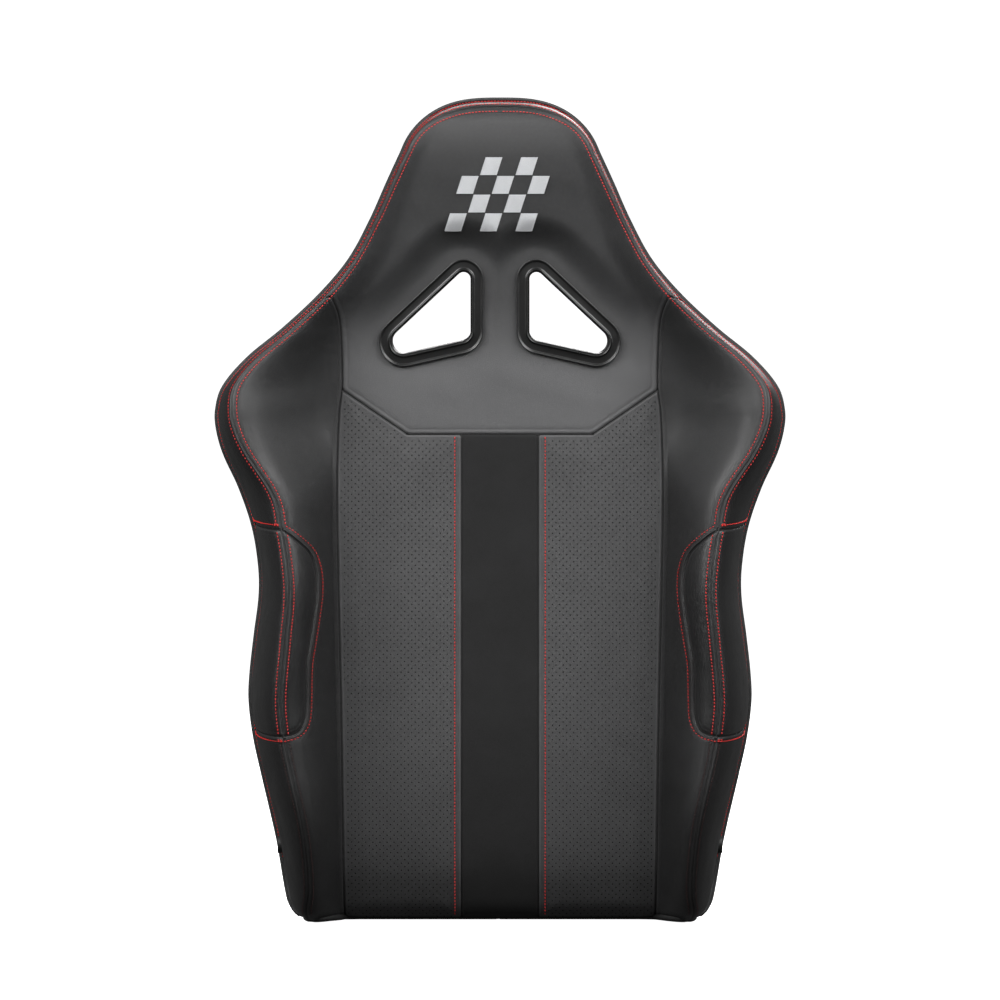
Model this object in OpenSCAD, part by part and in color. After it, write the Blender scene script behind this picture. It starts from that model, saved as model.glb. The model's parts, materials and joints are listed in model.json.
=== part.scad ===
// Backrest of a reclining racing seat: a steel tube frame with webbing, moulded foam round it, a sewn cover
// and two harness slots. The sitter leans on the -Y side, X runs across, Z is up, and the origin is the
// middle of the underside.

/* [Overall size] */
// Height of the backrest
back_h = 840; // [825:1:855]
// Width across the shoulder wings
shoulder_w = 586; // [575:1:600]
// Distance of the bolster crests in front of the origin
crest_reach = 92; // [84:1:96]

/* [Cover] */
// Thickness of the cover material with its backing
skin_t = 1.8; // [1.2:0.1:2]
// Width of the suede stripe down the middle
stripe_w = 78; // [60:1:90]
// Height of the seam between the head panel and the inserts
head_seam_z = 497; // [490:1:505]
// Width of one check of the embroidered chequer block
check_w = 18; // [14:1:20]

/* [Harness slots] */
// Width of the bezel flange round the clear hole
flange_w = 13; // [11:0.5:14]
// Thickness of the bezel flanges
flange_t = 3; // [2:0.5:3.5]
// Wall of the sleeve that lines the slot
sleeve_t = 3; // [2:0.5:3]

/* [Steel frame] */
// Outer diameter of the frame tube
tube_d = 22; // [20:1:24]
// Wall of the frame tube
tube_wall = 1.6; // [1.2:0.2:2.4]
// Diameter of the shoulder wing rods
rod_d = 8; // [6:1:8]
// Diameter of the lumbar bolster wires
wire_d = 6; // [5:1:7]
// Thickness of the side plates that carry the mounting bosses
plate_t = 4; // [3:0.5:5]

/* [Mounts] */
// Thread diameter of the mounting bosses
bolt_d = 8; // [8:2:10]
// Distance between the two mounting bosses of a side
bolt_gap = 50; // [40:1:60]
// Distance of the boss faces from the middle plane
boss_face_x = 228; // [224:1:230]

/* [Webbing] */
// Height of one webbing band
web_h = 46; // [40:1:46]
// Thickness of the webbing
web_t = 1.8; // [1.2:0.2:2]

/* [Cover zip] */
// Distance that the zip slider travels
zip_travel = 370; // [340:1:372]
// Length of the pull tab
pull_len = 24; // [18:1:28]

/* [Hidden] */

// The curves below are drawn for this size, and scale with the overall one
design_h = 840;
high = back_h / design_h;
wide = shoulder_w / 586;
deep = crest_reach / 92;
far = 500;

// Curves of the upholstered shape, each a list of [height, value]
outline = [[0, 206], [6, 213], [20, 220], [80, 231], [145, 246], [184, 254.5], [222, 259], [250, 258],
    [290, 253.5], [330, 248.5], [360, 249], [400, 255.5], [440, 269], [475, 285], [500, 292],
    [520, 293], [545, 285.5], [575, 260], [605, 223.5], [640, 186], [675, 156.5], [715, 134.5],
    [755, 116.5], [786, 102]];
ridge_inset = [[0, 14], [30, 28], [70, 34], [120, 38], [265, 38], [330, 36], [400, 36], [430, 40],
    [455, 37], [490, 29], [530, 21], [556, 15], [600, 12], [640, 11], [690, 8], [790, 8], [820, 3],
    [840, 0]];
insert_edge = [[0, 158], [180, 160], [350, 163.5], [430, 165], [510, 164], [545, 160], [605, 150],
    [640, 134], [680, 112], [720, 96], [780, 76], [810, 58], [830, 38], [840, 12]];
centre_front = [[0, 25], [10, 10], [25, 0], [60, -13], [120, -21], [185, -23], [300, -15], [420, -3],
    [520, 3], [600, 1], [700, -10], [780, -20], [812, -18], [826, -11], [835, 0], [840, 10]];
ridge_front = [[0, -12], [12, -32], [40, -54], [100, -82], [150, -92], [330, -92], [420, -82],
    [520, -76], [570, -60], [620, -36], [660, -25], [700, -22], [780, -26], [812, -20], [826, -11],
    [835, 0], [840, 10]];
rear_face = [[0, 62], [12, 76], [45, 86.8], [500, 86.8], [560, 84], [690, 84], [740, 74], [790, 58],
    [812, 50], [826, 42], [835, 32], [840, 22]];
rear_seam = [[0, 50], [40, 71], [500, 71], [560, 69], [690, 66], [740, 58], [790, 42], [812, 35],
    [826, 27], [835, 21], [840, 16]];

// Rows of the surface grid, and its columns over each stretch of the half section
rows = [0, 9, 25, 60, 100, 145, 190, 230, 270, 310, 350, 385, 415, 445, 475, 500, 522, 545, 567, 590,
    613, 640, 668, 700, 735, 770, 795, 812, 826, 835, 840];
flat_cells = 9;
slope_cells = 4;
side_cells = 5;
roll_cells = 3;
back_cells = 4;
crown_start = 786;
roll_w = 28;
seam_dip = 5;
// The crease lies just outside the insert seam, and the sheets meet just beside the grid's own edges
crease_out = 2.5;
ridge_cut_in = 1.5;
rear_cut_out = 1.6;

// Harness slot: the three corner circles of the clear hole, and the planes of its two bezels
slot_corners = [[37, 655], [40, 602], [98, 591]];
slot_radii = [7, 10, 12];
slot_front_y = 4;
slot_rear_y = 84;
slot_join_y = 44;
slot_lip_w = 4;
slot_lip_t = 2.5;
pocket_reach = 34;
screw_r = 1.4;
boss_r = 3.4;
boss_out = 8.2;

// Seams
ridge_top_z = 830;
wing_seam = [[160, 542], [160, 575], [161, 605], [164, 622], [170, 637]];
boxing_break_z = 637;
patch_top_z = 403;
patch_low_z = 195;
patch_edge = [[400, 403], [220, 403], [207, 395], [192, 380], [185.5, 362], [184, 345], [185, 327],
    [190, 292], [194, 265], [195, 223], [197, 208], [204, 199], [218, 195], [400, 195]];
diagonal_x = 94;
front_split_y = 30;

steel_paint = "#2b2c2e";

// Steel frame: a flat hoop that leans back to front with height
frame_foot_y = 62;
frame_lean = 3.15;
tube_r = tube_d / 2;
tube_x = 190;
hoop_path = [[tube_x, 25], [tube_x, 470], [100, 690], [68, 795], [-68, 795], [-100, 690],
    [-tube_x, 470], [-tube_x, 25]];
hoop_bends = [0, 60, 60, 45, 45, 60, 60, 0];
shoulder_bar_z = 545;
head_bar_z = 702;
base_bar_z = 45;
bar_r = 8;
plate_z0 = 34;
plate_z1 = 149;
plate_half = 19;
boss_mid_z = 100;
boss_r_out = 9;
weld_gap = 0.2;
cut_clear = 0.4;
web_count = 5;
web_z0 = 154;
web_pitch = 62;
web_clear = 0.1;

// Zip across the lower back
zip_z = 70;
zip_half = zip_travel / 2 + 7;
zip_gap = 6;
coil_in = 0.9;
coil_out = 3.1;
tape_out = 9.5;
rear_y = 86.8;
pin_y = 90.4;
pin_r = 0.7;
ring_r = 1.6;
slider_half = 6;
slider_h = 4.6;
post_half = 0.4;

// ---- curves ----

function cell(t, z, i = 0) = (i >= len(t) - 2 || z < t[i + 1][0]) ? i : cell(t, z, i + 1);
function grade(t, i) = let(a = max(i - 1, 0), b = min(i + 1, len(t) - 1))
    (t[b][1] - t[a][1]) / (t[b][0] - t[a][0]);
function clamp01(s) = min(max(s, 0), 1);
function ease(s) = let(c = clamp01(s)) c * c * (3 - 2 * c);

// Smooth curve through the [height, value] pairs of a table
function curve(t, z) = let(i = cell(t, z), h = t[i + 1][0] - t[i][0], s = clamp01((z - t[i][0]) / h))
    t[i][1] * (1 + 2 * s) * pow(1 - s, 2) + grade(t, i) * h * s * pow(1 - s, 2)
    + t[i + 1][1] * s * s * (3 - 2 * s) + grade(t, i + 1) * h * s * s * (s - 1);

// Half width of the silhouette: a table, then a rounded crown above crown_start
function crown(q) = (102 - 21 * q) * pow(max(1 - pow(q, 2.4), 0.02), 1 / 3);
function half_width(z) = wide * (z < crown_start ? curve(outline, z)
    : crown((z - crown_start) / (design_h - crown_start)));

// Half offset of the ridge seam, lifted towards the crown so that it closes over the head
function ridge_half(z) = let(lift = 10 * ease((z - 780) / 50))
    half_width(min(z + lift, design_h)) - curve(ridge_inset, z);
function ridge_col(z) = max(ridge_half(z), 0.6 * half_width(z));
function crease_col(z) = min(curve(insert_edge, z) * wide + crease_out, 0.9 * ridge_col(z));
function ridge_y(z) = curve(ridge_front, z) * deep;
function seam_half(z) = half_width(z) - min(seam_dip, 0.2 * half_width(z));

// Distance from a point of the front view to the core triangle of the slot
function side_of(p, a, b) = (b[0] - a[0]) * (p[1] - a[1]) - (b[1] - a[1]) * (p[0] - a[0]);
function edge_gap(p, a, b) = let(d = b - a, s = clamp01((p - a) * d / (d * d))) norm(p - a - s * d);
function slot_gap(p) = let(c = slot_corners, s = [for (i = [0 : 2]) side_of(p, c[i], c[(i + 1) % 3])])
    min(s) > 0 ? 0 : min([for (i = [0 : 2]) edge_gap(p, c[i], c[(i + 1) % 3])]);

// Front surface: flat middle, bolster slope to the ridge, and a dished pocket round each slot
function slope_shape(t, z) = let(m = 0.75 * ease((z - 430) / 80)) m * ease(t) + (1 - m) * sin(90 * t);
function open_front(x, z) = let(a = crease_col(z), b = ridge_col(z), yc = curve(centre_front, z))
    x <= a ? yc : yc + (ridge_y(z) - yc) * slope_shape(clamp01((x - a) / (b - a)), z);
function pocket(x, z) = ease(1 - (slot_gap([x, z]) - 30) / pocket_reach);
function front_y(x, z) = let(w = pocket(x, z)) open_front(x, z) * (1 - w) + slot_front_y * w;

// Half section at height z, from the front middle round the side to the rear middle
function half_section(z) = let(
    w = half_width(z), a = crease_col(z), b = ridge_col(z), s = seam_half(z),
    ys = curve(rear_seam, z), yb = curve(rear_face, z), roll = min(roll_w, 0.6 * w),
    y0 = ys + min(4, (yb - ys) / 3))
    concat(
        [for (i = [0 : flat_cells]) let(x = a * i / flat_cells) [x, front_y(x, z)]],
        [for (i = [1 : slope_cells]) let(x = a + (b - a) * i / slope_cells) [x, front_y(x, z)]],
        [for (i = [1 : side_cells]) let(q = 90 * i / side_cells)
            [b + (s - b) * sin(q), ridge_y(z) + (ys - ridge_y(z)) * (1 - cos(q))]],
        [for (i = [0 : roll_cells]) let(q = 90 * i / roll_cells)
            [w - roll + roll * cos(q), y0 + (yb - y0) * sin(q)]],
        [for (i = [1 : back_cells]) [(w - roll) * (1 - i / back_cells), yb]]);

half_count = flat_cells + slope_cells + side_cells + roll_cells + back_cells + 2;
ring_count = 2 * half_count - 2;
last_row = len(rows) - 1;

// Closed ring of 3-D points at row i
function ring(i) = let(h = half_section(rows[i]), z = rows[i] * high) concat(
    [for (p = h) [p[0], p[1], z]],
    [for (k = [half_count - 2 : -1 : 1]) [-h[k][0], h[k][1], z]]);

grid = [for (i = [0 : last_row]) ring(i)];

// The grid moved inward by d along its normals; the end rows stay level
function inward(i, k, d) = let(
    along = grid[i][(k + 1) % ring_count] - grid[i][(k + ring_count - 1) % ring_count],
    is_end = i == 0 || i == last_row,
    up = is_end ? [0, 0, 1] : grid[i + 1][k] - grid[i - 1][k],
    n = cross(along, up), p = grid[i][k] - d * n / norm(n))
    is_end ? [p[0], p[1], i == 0 ? max(d, 0) : grid[i][k][2] - max(d, 0)] : p;

function quad(i, k) = let(
    a = i * ring_count + k, b = i * ring_count + (k + 1) % ring_count, c = b + ring_count,
        d = a + ring_count)
    k < ring_count / 2 ? [[a, d, c], [a, c, b]] : [[a, d, b], [d, c, b]];

// The whole upholstered body, inset d below its finished surface
module block(d) polyhedron(
    points = [for (i = [0 : last_row]) for (k = [0 : ring_count - 1]) inward(i, k, d)],
    faces = concat(
        [for (i = [0 : last_row - 1]) for (k = [0 : ring_count - 1]) for (f = quad(i, k)) f],
        [[for (k = [0 : ring_count - 1]) k]],
        [[for (k = [ring_count - 1 : -1 : 0]) last_row * ring_count + k]]));

// ---- helpers ----

// Turns what it holds into one mesh, so that sheets and foam that follow the surface stay one solid
module as_mesh() resize([0, 0, 0]) children();

// Prism of an outline in the front view, between two depths
module prism(points, y0, y1) rotate([90, 0, 0]) translate([0, 0, -y1]) linear_extrude(y1 - y0)
    polygon(points);

module slab(z0, z1) translate([-far, -far, z0]) cube([2 * far, 2 * far, z1 - z0]);

// Rounded triangle round the slot, grown by g: arcs about the three corners, joined by their tangents
function tangent_turn(i, j) = let(d = slot_corners[j] - slot_corners[i])
    atan2(d[1], d[0]) - acos((slot_radii[i] - slot_radii[j]) / norm(d));
function slot_outline(g, steps = 5) = [for (i = [0 : 2]) let(
    a0 = tangent_turn((i + 2) % 3, i), a1 = tangent_turn(i, (i + 1) % 3),
        turn = ((a1 - a0) % 360 + 360) % 360)
    for (k = [0 : steps]) let(a = a0 + turn * k / steps)
        slot_corners[i] + (slot_radii[i] + g) * [cos(a), sin(a)]];

slot_middle = (slot_corners[0] + slot_corners[1] + slot_corners[2]) / 3;
function boss_at(i) = let(d = slot_corners[i] - slot_middle)
    slot_corners[i] + (slot_radii[i] + boss_out) * d / norm(d);

module slot_prism(g, y0, y1) prism(slot_outline(g), y0, y1);
module slot_posts(r, y0, y1, fn = 24)
    for (i = [0 : 2]) let(p = boss_at(i)) translate([p[0], y1, p[1]]) rotate([90, 0, 0])
        cylinder(h = y1 - y0, r = r, $fn = fn);

module both_sides() {
    children();
    mirror([1, 0, 0]) children();
}

// Puts a frame piece drawn in its own flat plane (X across, Z along the lean) into place
module in_frame_plane() translate([0, frame_foot_y, 0]) rotate([frame_lean, 0, 0]) children();
function frame_y(z) = frame_foot_y - z * tan(frame_lean);

// ---- bent tube in the frame plane ----

function heading(p, i) = atan2(p[i + 1][1] - p[i][1], p[i + 1][0] - p[i][0]);
function bend_turn(p, i) = let(t = heading(p, i) - heading(p, i - 1)) t > 180 ? t - 360 : t < -180
    ? t + 360 : t;
function bend_cut(p, b, i) = (i == 0 || i == len(p) - 1) ? 0 : b[i] * tan(abs(bend_turn(p, i)) / 2);

// Points [x, z, heading] along the path, with an arc at each bend
function bend_points(p, b, i, steps) = let(
    t = bend_turn(p, i), a = heading(p, i - 1), s = sign(t),
        start = p[i] - bend_cut(p, b, i) * [cos(a), sin(a)],
    mid = start + b[i] * s * [-sin(a), cos(a)])
    [for (k = [0 : steps]) let(h = a + t * k / steps, q = mid + b[i] * s * [sin(h), -cos(h)])
        [q[0], q[1], h]];
function bent_route(p, b, extra, steps) = let(n = len(p) - 1, h0 = heading(p, 0),
    h1 = heading(p, n - 1)) concat(
    [[p[0][0] - extra * cos(h0), p[0][1] - extra * sin(h0), h0]],
    [for (i = [1 : n - 1]) for (q = bend_points(p, b, i, steps)) q],
    [[p[n][0] + extra * cos(h1), p[n][1] + extra * sin(h1), h1]]);

// Closed skin over rings of points
module ring_solid(rings) {
    m = len(rings[0]);
    n = len(rings);
    polyhedron(
        points = [for (g = rings) for (q = g) q],
        faces = concat(
            [for (i = [0 : n - 2]) for (k = [0 : m - 1]) let(a = i * m + k, b = i * m + (k + 1) % m)
                for (f = [[a, a + m, b + m], [a, b + m, b]]) f],
            [[for (k = [0 : m - 1]) k]],
            [[for (k = [m - 1 : -1 : 0]) (n - 1) * m + k]]));
}

module bent_rod(p, b, r, sides, extra = 0, steps = 4) ring_solid([for (q = bent_route(p, b, extra, steps))
    [for (k = [0 : sides - 1]) let(a = 360 * (k + 0.5) / sides)
        [q[0] - r * cos(a) * sin(q[2]), -r * sin(a), q[1] + r * cos(a) * cos(q[2])]]]);

// ---- round rod swept along points ----

function blend_point(p, i, s) = let(n = len(p) - 1, a = p[max(i - 1, 0)], b = p[i],
    c = p[min(i + 1, n)], d = p[min(i + 2, n)])
    0.5 * (2 * b + (c - a) * s + (2 * a - 5 * b + 4 * c - d) * s * s + (3 * b - a - 3 * c + d) * s * s * s);
function smooth_route(p, steps = 2) = concat(
    [for (i = [0 : len(p) - 2]) for (k = [0 : steps - 1]) blend_point(p, i, k / steps)], [p[len(p) - 1]]);

module swept_rod(route, r, sides = 8) {
    p = smooth_route(route);
    n = len(p);
    function ahead(i) = p[min(i + 1, n - 1)] - p[max(i - 1, 0)];
    // The rods never run along X for long, so X sets the start of each ring
    function ring_at(i) = let(t = ahead(i) / norm(ahead(i)), u0 = cross([0.2, 1, 0.1], t),
        u = u0 / norm(u0), v = cross(t, u))
        [for (k = [0 : sides - 1]) p[i] + r * (cos(360 * k / sides) * u + sin(360 * k / sides) * v)];
    ring_solid([for (i = [0 : n - 1]) ring_at(i)]);
}

// ---- steel frame ----

module frame_hoop() color(steel_paint) as_mesh() in_frame_plane() difference() {
    bent_rod(hoop_path, hoop_bends, tube_r, 12);
    bent_rod(hoop_path, hoop_bends, tube_r - tube_wall, 12, extra = 1);
}

module hoop_room() in_frame_plane()
    bent_rod(hoop_path, hoop_bends, (tube_r + cut_clear) / cos(22.5), 8, extra = 2);

// A cross bar at local height z that stops against the hoop tubes
module cross_bar(z, half) in_frame_plane() translate([-half, 0, z]) rotate([0, 90, 0]) difference() {
    cylinder(h = 2 * half, r = bar_r, $fn = 32);
    translate([0, 0, -1]) cylinder(h = 2 * half + 2, r = bar_r - tube_wall, $fn = 32);
}

function hoop_x(z) = z < 470 ? tube_x : z < 690 ? tube_x - (tube_x - 100) * (z - 470) / 220
    : 100 - 32 * (z - 690) / 105;
shoulder_half = hoop_x(shoulder_bar_z + bar_r) - tube_r / cos(23) - weld_gap;
head_half = hoop_x(head_bar_z + bar_r) - tube_r / cos(23) - weld_gap;
base_half = tube_x - tube_r - weld_gap;

module shoulder_bar() color(steel_paint) cross_bar(shoulder_bar_z, shoulder_half);
module head_bar() color(steel_paint) cross_bar(head_bar_z, head_half);
module base_bar() color(steel_paint) cross_bar(base_bar_z, base_half);

// Shoulder wing rod, lap welded to the hoop above the webbing and again over the shoulder
rod_x = tube_x + tube_r + rod_d / 2 + weld_gap;
wing_route = [[rod_x, frame_y(452), 452], [rod_x + 0.4, frame_y(460), 460], [216, 26, 468],
    [238, 0, 482], [255, -16, 508], [240, -8, 543], [200, 12, 566], [162, 28, 582]];
module wing_rod() color(steel_paint) swept_rod(wing_route, rod_d / 2);

// Lumbar bolster wire, lap welded to the hoop in the gaps between the webbing bands
wire_x = tube_x + tube_r + wire_d / 2 + weld_gap;
bolster_route = [[wire_x, frame_y(203), 203], [wire_x, frame_y(212), 212], [210, 30, 219],
    [210, 0, 230], [210, -30, 246], [210, -48, 272], [210, -48, 330], [210, -30, 356], [210, 0, 372],
    [210, 30, 383], [wire_x, frame_y(390), 390], [wire_x, frame_y(399), 399]];
module bolster_wire() color(steel_paint) swept_rod(bolster_route, wire_d / 2);

// Side plate: a flat steel plate outside the tube, drilled for the two bosses
plate_x = tube_x + tube_r;
module side_plate() color(steel_paint) in_frame_plane() difference() {
    translate([plate_x, -plate_half, plate_z0]) cube([plate_t, 2 * plate_half, plate_z1 - plate_z0]);
    for (s = [-1, 1]) translate([plate_x - 1, 0, boss_mid_z + s * bolt_gap / 2]) rotate([0, 90, 0])
        cylinder(h = plate_t + 2, r = bolt_d / 2 + 0.5, $fn = 32);
}

// The pair of mounting bosses stands level, square to the sides
boss_y = frame_y(boss_mid_z);
module bracket_bosses() color("#8b8d90") for (s = [-1, 1])
    translate([plate_x + plate_t, boss_y, boss_mid_z + s * bolt_gap / 2]) rotate([0, 90, 0]) difference() {
    cylinder(h = boss_face_x - plate_x - plate_t, r = boss_r_out, $fn = 48);
    translate([0, 0, -1]) cylinder(h = boss_face_x, r = bolt_d / 2, $fn = 48);
}
module boss_room() for (s = [-1, 1]) translate([tube_x, boss_y, boss_mid_z + s * bolt_gap / 2])
    rotate([0, 90, 0]) cylinder(h = 80, r = boss_r_out + 1.5, $fn = 20);
module plate_room() in_frame_plane() translate([plate_x - 2, -plate_half - cut_clear, plate_z0 - cut_clear])
    cube([plate_t + 2 + cut_clear, 2 * (plate_half + cut_clear), plate_z1 - plate_z0 + 2 * cut_clear]);

// ---- webbing ----

module loop_face(r) {
    square([2 * tube_x, 2 * r], center = true);
    for (s = [-1, 1]) translate([s * tube_x, 0]) circle(r, $fn = 48);
}
module webbing_band(i) color("#1c1c1c") in_frame_plane() translate([0, 0, web_z0 + i * web_pitch])
    linear_extrude(web_h) difference() {
    loop_face(tube_r + web_clear + web_t);
    loop_face(tube_r + web_clear);
}
web_room_half = tube_r + web_clear + web_t + cut_clear;
module web_room() in_frame_plane() translate([-tube_x - web_room_half, -web_room_half, web_z0 - 4])
    cube([2 * (tube_x + web_room_half), 2 * web_room_half, (web_count - 1) * web_pitch + web_h + 8]);

// ---- foam ----

// All that the foam leaves room for
module foam_rooms() {
    hoop_room();
    web_room();
    in_frame_plane() {
        translate([-tube_x, 0, shoulder_bar_z]) rotate([0, 90, 0])
            cylinder(h = 2 * tube_x, r = bar_r + cut_clear + 0.3, $fn = 12);
        translate([-100, 0, head_bar_z]) rotate([0, 90, 0])
            cylinder(h = 200, r = bar_r + cut_clear + 0.3, $fn = 12);
        translate([-tube_x, 0, base_bar_z]) rotate([0, 90, 0])
            cylinder(h = 2 * tube_x, r = bar_r + cut_clear + 0.3, $fn = 12);
    }
    both_sides() {
        swept_rod(wing_route, rod_d / 2 + 1, 6);
        swept_rod(bolster_route, wire_d / 2 + 1, 6);
        plate_room();
        boss_room();
        slot_prism(sleeve_t + cut_clear, -far, far);
        slot_posts(boss_r + 0.8, -far, far, 8);
    }
    translate([-zip_half - 6, rear_y - skin_t - 5, zip_z - tape_out - 2])
        cube([2 * (zip_half + 6), 30, 2 * (tape_out + 2)]);
}
module behind_frame() in_frame_plane() translate([-far, 0, -far]) cube([2 * far, far, 4 * far]);

module front_foam() color("#57585a") as_mesh() difference() {
    block(skin_t);
    behind_frame();
    foam_rooms();
}
module rear_foam() color("#4f5052") as_mesh() difference() {
    intersection() {
        block(skin_t);
        behind_frame();
    }
    foam_rooms();
}

// ---- cover ----

// The whole cover as one shell, without its bottom sheet, and open for the bezels, bosses and zip
module cover() difference() {
    block(0);
    block(skin_t);
    slab(-1, skin_t);
    both_sides() {
        slot_prism(sleeve_t + cut_clear, -far, far);
        slot_posts(boss_r + 0.8, -far, far, 8);
        slot_prism(flange_w + cut_clear, -far, slot_front_y);
        slot_prism(flange_w + cut_clear, slot_rear_y, far);
        boss_room();
    }
    translate([-zip_half - 3, 0, zip_z - zip_gap]) cube([2 * (zip_half + 3), far, 2 * zip_gap]);
}

ridge_rows = concat([for (z = rows) if (z > 0 && z < 800) z], [800, 808, 814, 819, 823, 826, 828]);
ridge_line = [for (z = ridge_rows) [ridge_half(z) - ridge_cut_in, z * high]];
insert_line = [for (z = [30, 90, 180, 265, 350, 430, 510]) [curve(insert_edge, z) * wide, z]];
module ridge_prism() both_sides() prism(concat([[0, -1], [ridge_line[0][0], -1]], ridge_line,
    [[0, ridge_top_z * high]]), -far, front_split_y);

// The part of the cover behind the rear seam
module rear_region() rotate([90, 0, 90]) translate([0, 0, -far]) linear_extrude(2 * far)
    polygon(concat([[far, ridge_top_z * high], [far, -1]],
        [for (z = [0, 20, 40, 330, 500, 560, 620, 660, 700, 745, 790, 815, ridge_top_z])
            [curve(rear_seam, z) + rear_cut_out, z == 0 ? -1 : z * high]]));

module front_sheet(outline_points) as_mesh() intersection() {
    cover();
    ridge_prism();
    prism(outline_points, -far, front_split_y);
}

// Outlines of the panels in the front view, for the right half
head_outline = concat([[-0.01, head_seam_z], [diagonal_x, head_seam_z]], wing_seam,
    [[far, boxing_break_z], [far, 900], [-0.01, 900]]);
wing_outline = concat([[158 * wide, -1]], insert_line, wing_seam, [[far, boxing_break_z], [far, -1]]);
insert_outline = concat([[stripe_w / 2, -1], [158 * wide, -1]], insert_line,
    [[160, 542], [diagonal_x, head_seam_z], [stripe_w / 2, head_seam_z]]);
stripe_outline = [[-stripe_w / 2, -1], [stripe_w / 2, -1], [stripe_w / 2, head_seam_z],
    [-stripe_w / 2, head_seam_z]];

module head_panel() color("#3a3a3b") as_mesh() intersection() {
    cover();
    ridge_prism();
    both_sides() prism(head_outline, -far, front_split_y);
}
module wing_panel() color("#353536") as_mesh() difference() {
    intersection() {
        cover();
        ridge_prism();
        prism(wing_outline, -far, front_split_y);
    }
    prism(patch_edge, -far, front_split_y);
}
module insert_panel() color("#565657") front_sheet(insert_outline);
module centre_stripe() color("#232324") front_sheet(stripe_outline);
module patch_inner() color("#303132") front_sheet(patch_edge);

// The side bands between the ridge seam and the rear seam
module boxing(z0, z1, x0) as_mesh() difference() {
    intersection() {
        cover();
        slab(z0, z1);
        translate([x0, -far, 0]) cube([far, 2 * far, 2 * far]);
    }
    ridge_prism();
    rear_region();
}
module head_boxing() color("#2c2c2d") boxing(boxing_break_z, back_h + 1, -far / 2);
module wing_boxing() color("#2a2a2b") boxing(patch_top_z, boxing_break_z, 0);
module patch_outer() color("#303132") boxing(patch_low_z, patch_top_z, 0);
module lower_boxing() color("#1f1f20") boxing(skin_t, patch_low_z, 0);

module rear_sheet(z0, z1) as_mesh() intersection() {
    cover();
    rear_region();
    slab(z0, z1);
}
module back_panel() color("#262627") rear_sheet(zip_z, back_h);
module lower_back_panel() color("#262627") rear_sheet(skin_t, zip_z);
module bottom_panel() color("#1d1d1e") as_mesh() intersection() {
    block(0);
    slab(0, skin_t);
}

// Embroidered chequer block on the head: leaning checks, raised thread
emblem_z = 741;
emblem_cols = 5;
emblem_rows = 4;
emblem_lean = 0.32;
thread_t = 0.8;
module check(i, k) let(h = check_w * 1.05, x = (i - emblem_cols / 2) * check_w,
    z = (k - emblem_rows / 2) * h, g = 0.5)
    prism([for (c = [[g, g], [check_w - g, g], [check_w - g, h - g], [g, h - g]])
        [x + c[0] + emblem_lean * (z + c[1]), emblem_z + z + c[1]]], -far, front_split_y);
module emblem() color("#c8c9cb") as_mesh() intersection() {
    difference() {
        block(-thread_t);
        block(0);
    }
    union() for (i = [0 : emblem_cols - 1]) for (k = [0 : emblem_rows - 1]) if ((i + k) % 2 == 0)
        check(i, k);
}

// ---- harness slot bezels ----

module bezel_ring(g, y0, y1) difference() {
    slot_prism(g, y0, y1);
    slot_prism(0, y0 - 1, y1 + 1);
}
module front_bezel() color("#1a1a1b") difference() {
    union() {
        bezel_ring(flange_w, slot_front_y - flange_t, slot_front_y);
        bezel_ring(slot_lip_w, slot_front_y - flange_t - slot_lip_t, slot_front_y - flange_t);
        bezel_ring(sleeve_t, slot_front_y, slot_join_y);
        slot_posts(boss_r, slot_front_y, slot_join_y);
    }
    slot_posts(screw_r + 0.1, slot_join_y - 20, slot_join_y + 1);
}
module rear_bezel() color("#1a1a1b") difference() {
    union() {
        bezel_ring(flange_w, slot_rear_y, slot_rear_y + flange_t);
        bezel_ring(sleeve_t, slot_join_y + 0.1, slot_rear_y);
        slot_posts(boss_r, slot_join_y + 0.1, slot_rear_y);
    }
    slot_posts(screw_r + 0.3, slot_join_y - 1, slot_rear_y + flange_t + 1);
}
module bezel_screws() color("#0e0e0f") {
    slot_posts(screw_r, slot_join_y - 16, slot_rear_y + flange_t);
    slot_posts(2.6, slot_rear_y + flange_t, slot_rear_y + flange_t + 1.8);
}

// ---- zip ----

coil_y = rear_y - 3;
tape_y = rear_y - skin_t - 0.9;

module zip_tape() color("#151515") for (s = [-1, 1])
    translate([-zip_half, tape_y, s > 0 ? zip_z + coil_out : zip_z - tape_out])
    cube([2 * zip_half, 0.8, tape_out - coil_out]);
module zip_coil() color("#202022") for (s = [-1, 1])
    translate([-zip_half + 0.2, coil_y, s > 0 ? zip_z + coil_in : zip_z - coil_out])
    cube([2 * zip_half - 0.4, 2.6, coil_out - coil_in]);
module zip_stops() color("#8d8f92") for (s = [-1, 1])
    translate([s * (zip_half + 1.4) - 1.2, coil_y, zip_z - 3.4]) cube([2.4, 3, 6.8]);

slide_start = -zip_travel / 2;
module zip_slider() color("#3a3b3d") translate([slide_start, 0, zip_z]) {
    // Top and bottom plates, the post that joins them, and the flanges that hold the tape edges
    for (y = [rear_y + 0.3, coil_y - 1.7])
        translate([-slider_half, y, -slider_h]) cube([2 * slider_half, 1.3, 2 * slider_h]);
    translate([slider_half - 3, coil_y - 1.7, -post_half]) cube([3, rear_y - coil_y + 3.3, 2 * post_half]);
    for (z = [slider_h - 0.9, -slider_h])
        translate([-slider_half, rear_y - 1.2, z]) cube([2 * slider_half, 2, 0.9]);
    // Two arches carry the pin of the pull
    for (s = [-1, 1]) translate([-1, rear_y + 1.6, s * 3.6 - 0.7]) cube([2, pin_y - rear_y - 0.5, 1.4]);
    translate([0, pin_y, -3.6]) cylinder(h = 7.2, r = pin_r, $fn = 24);
}

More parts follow.
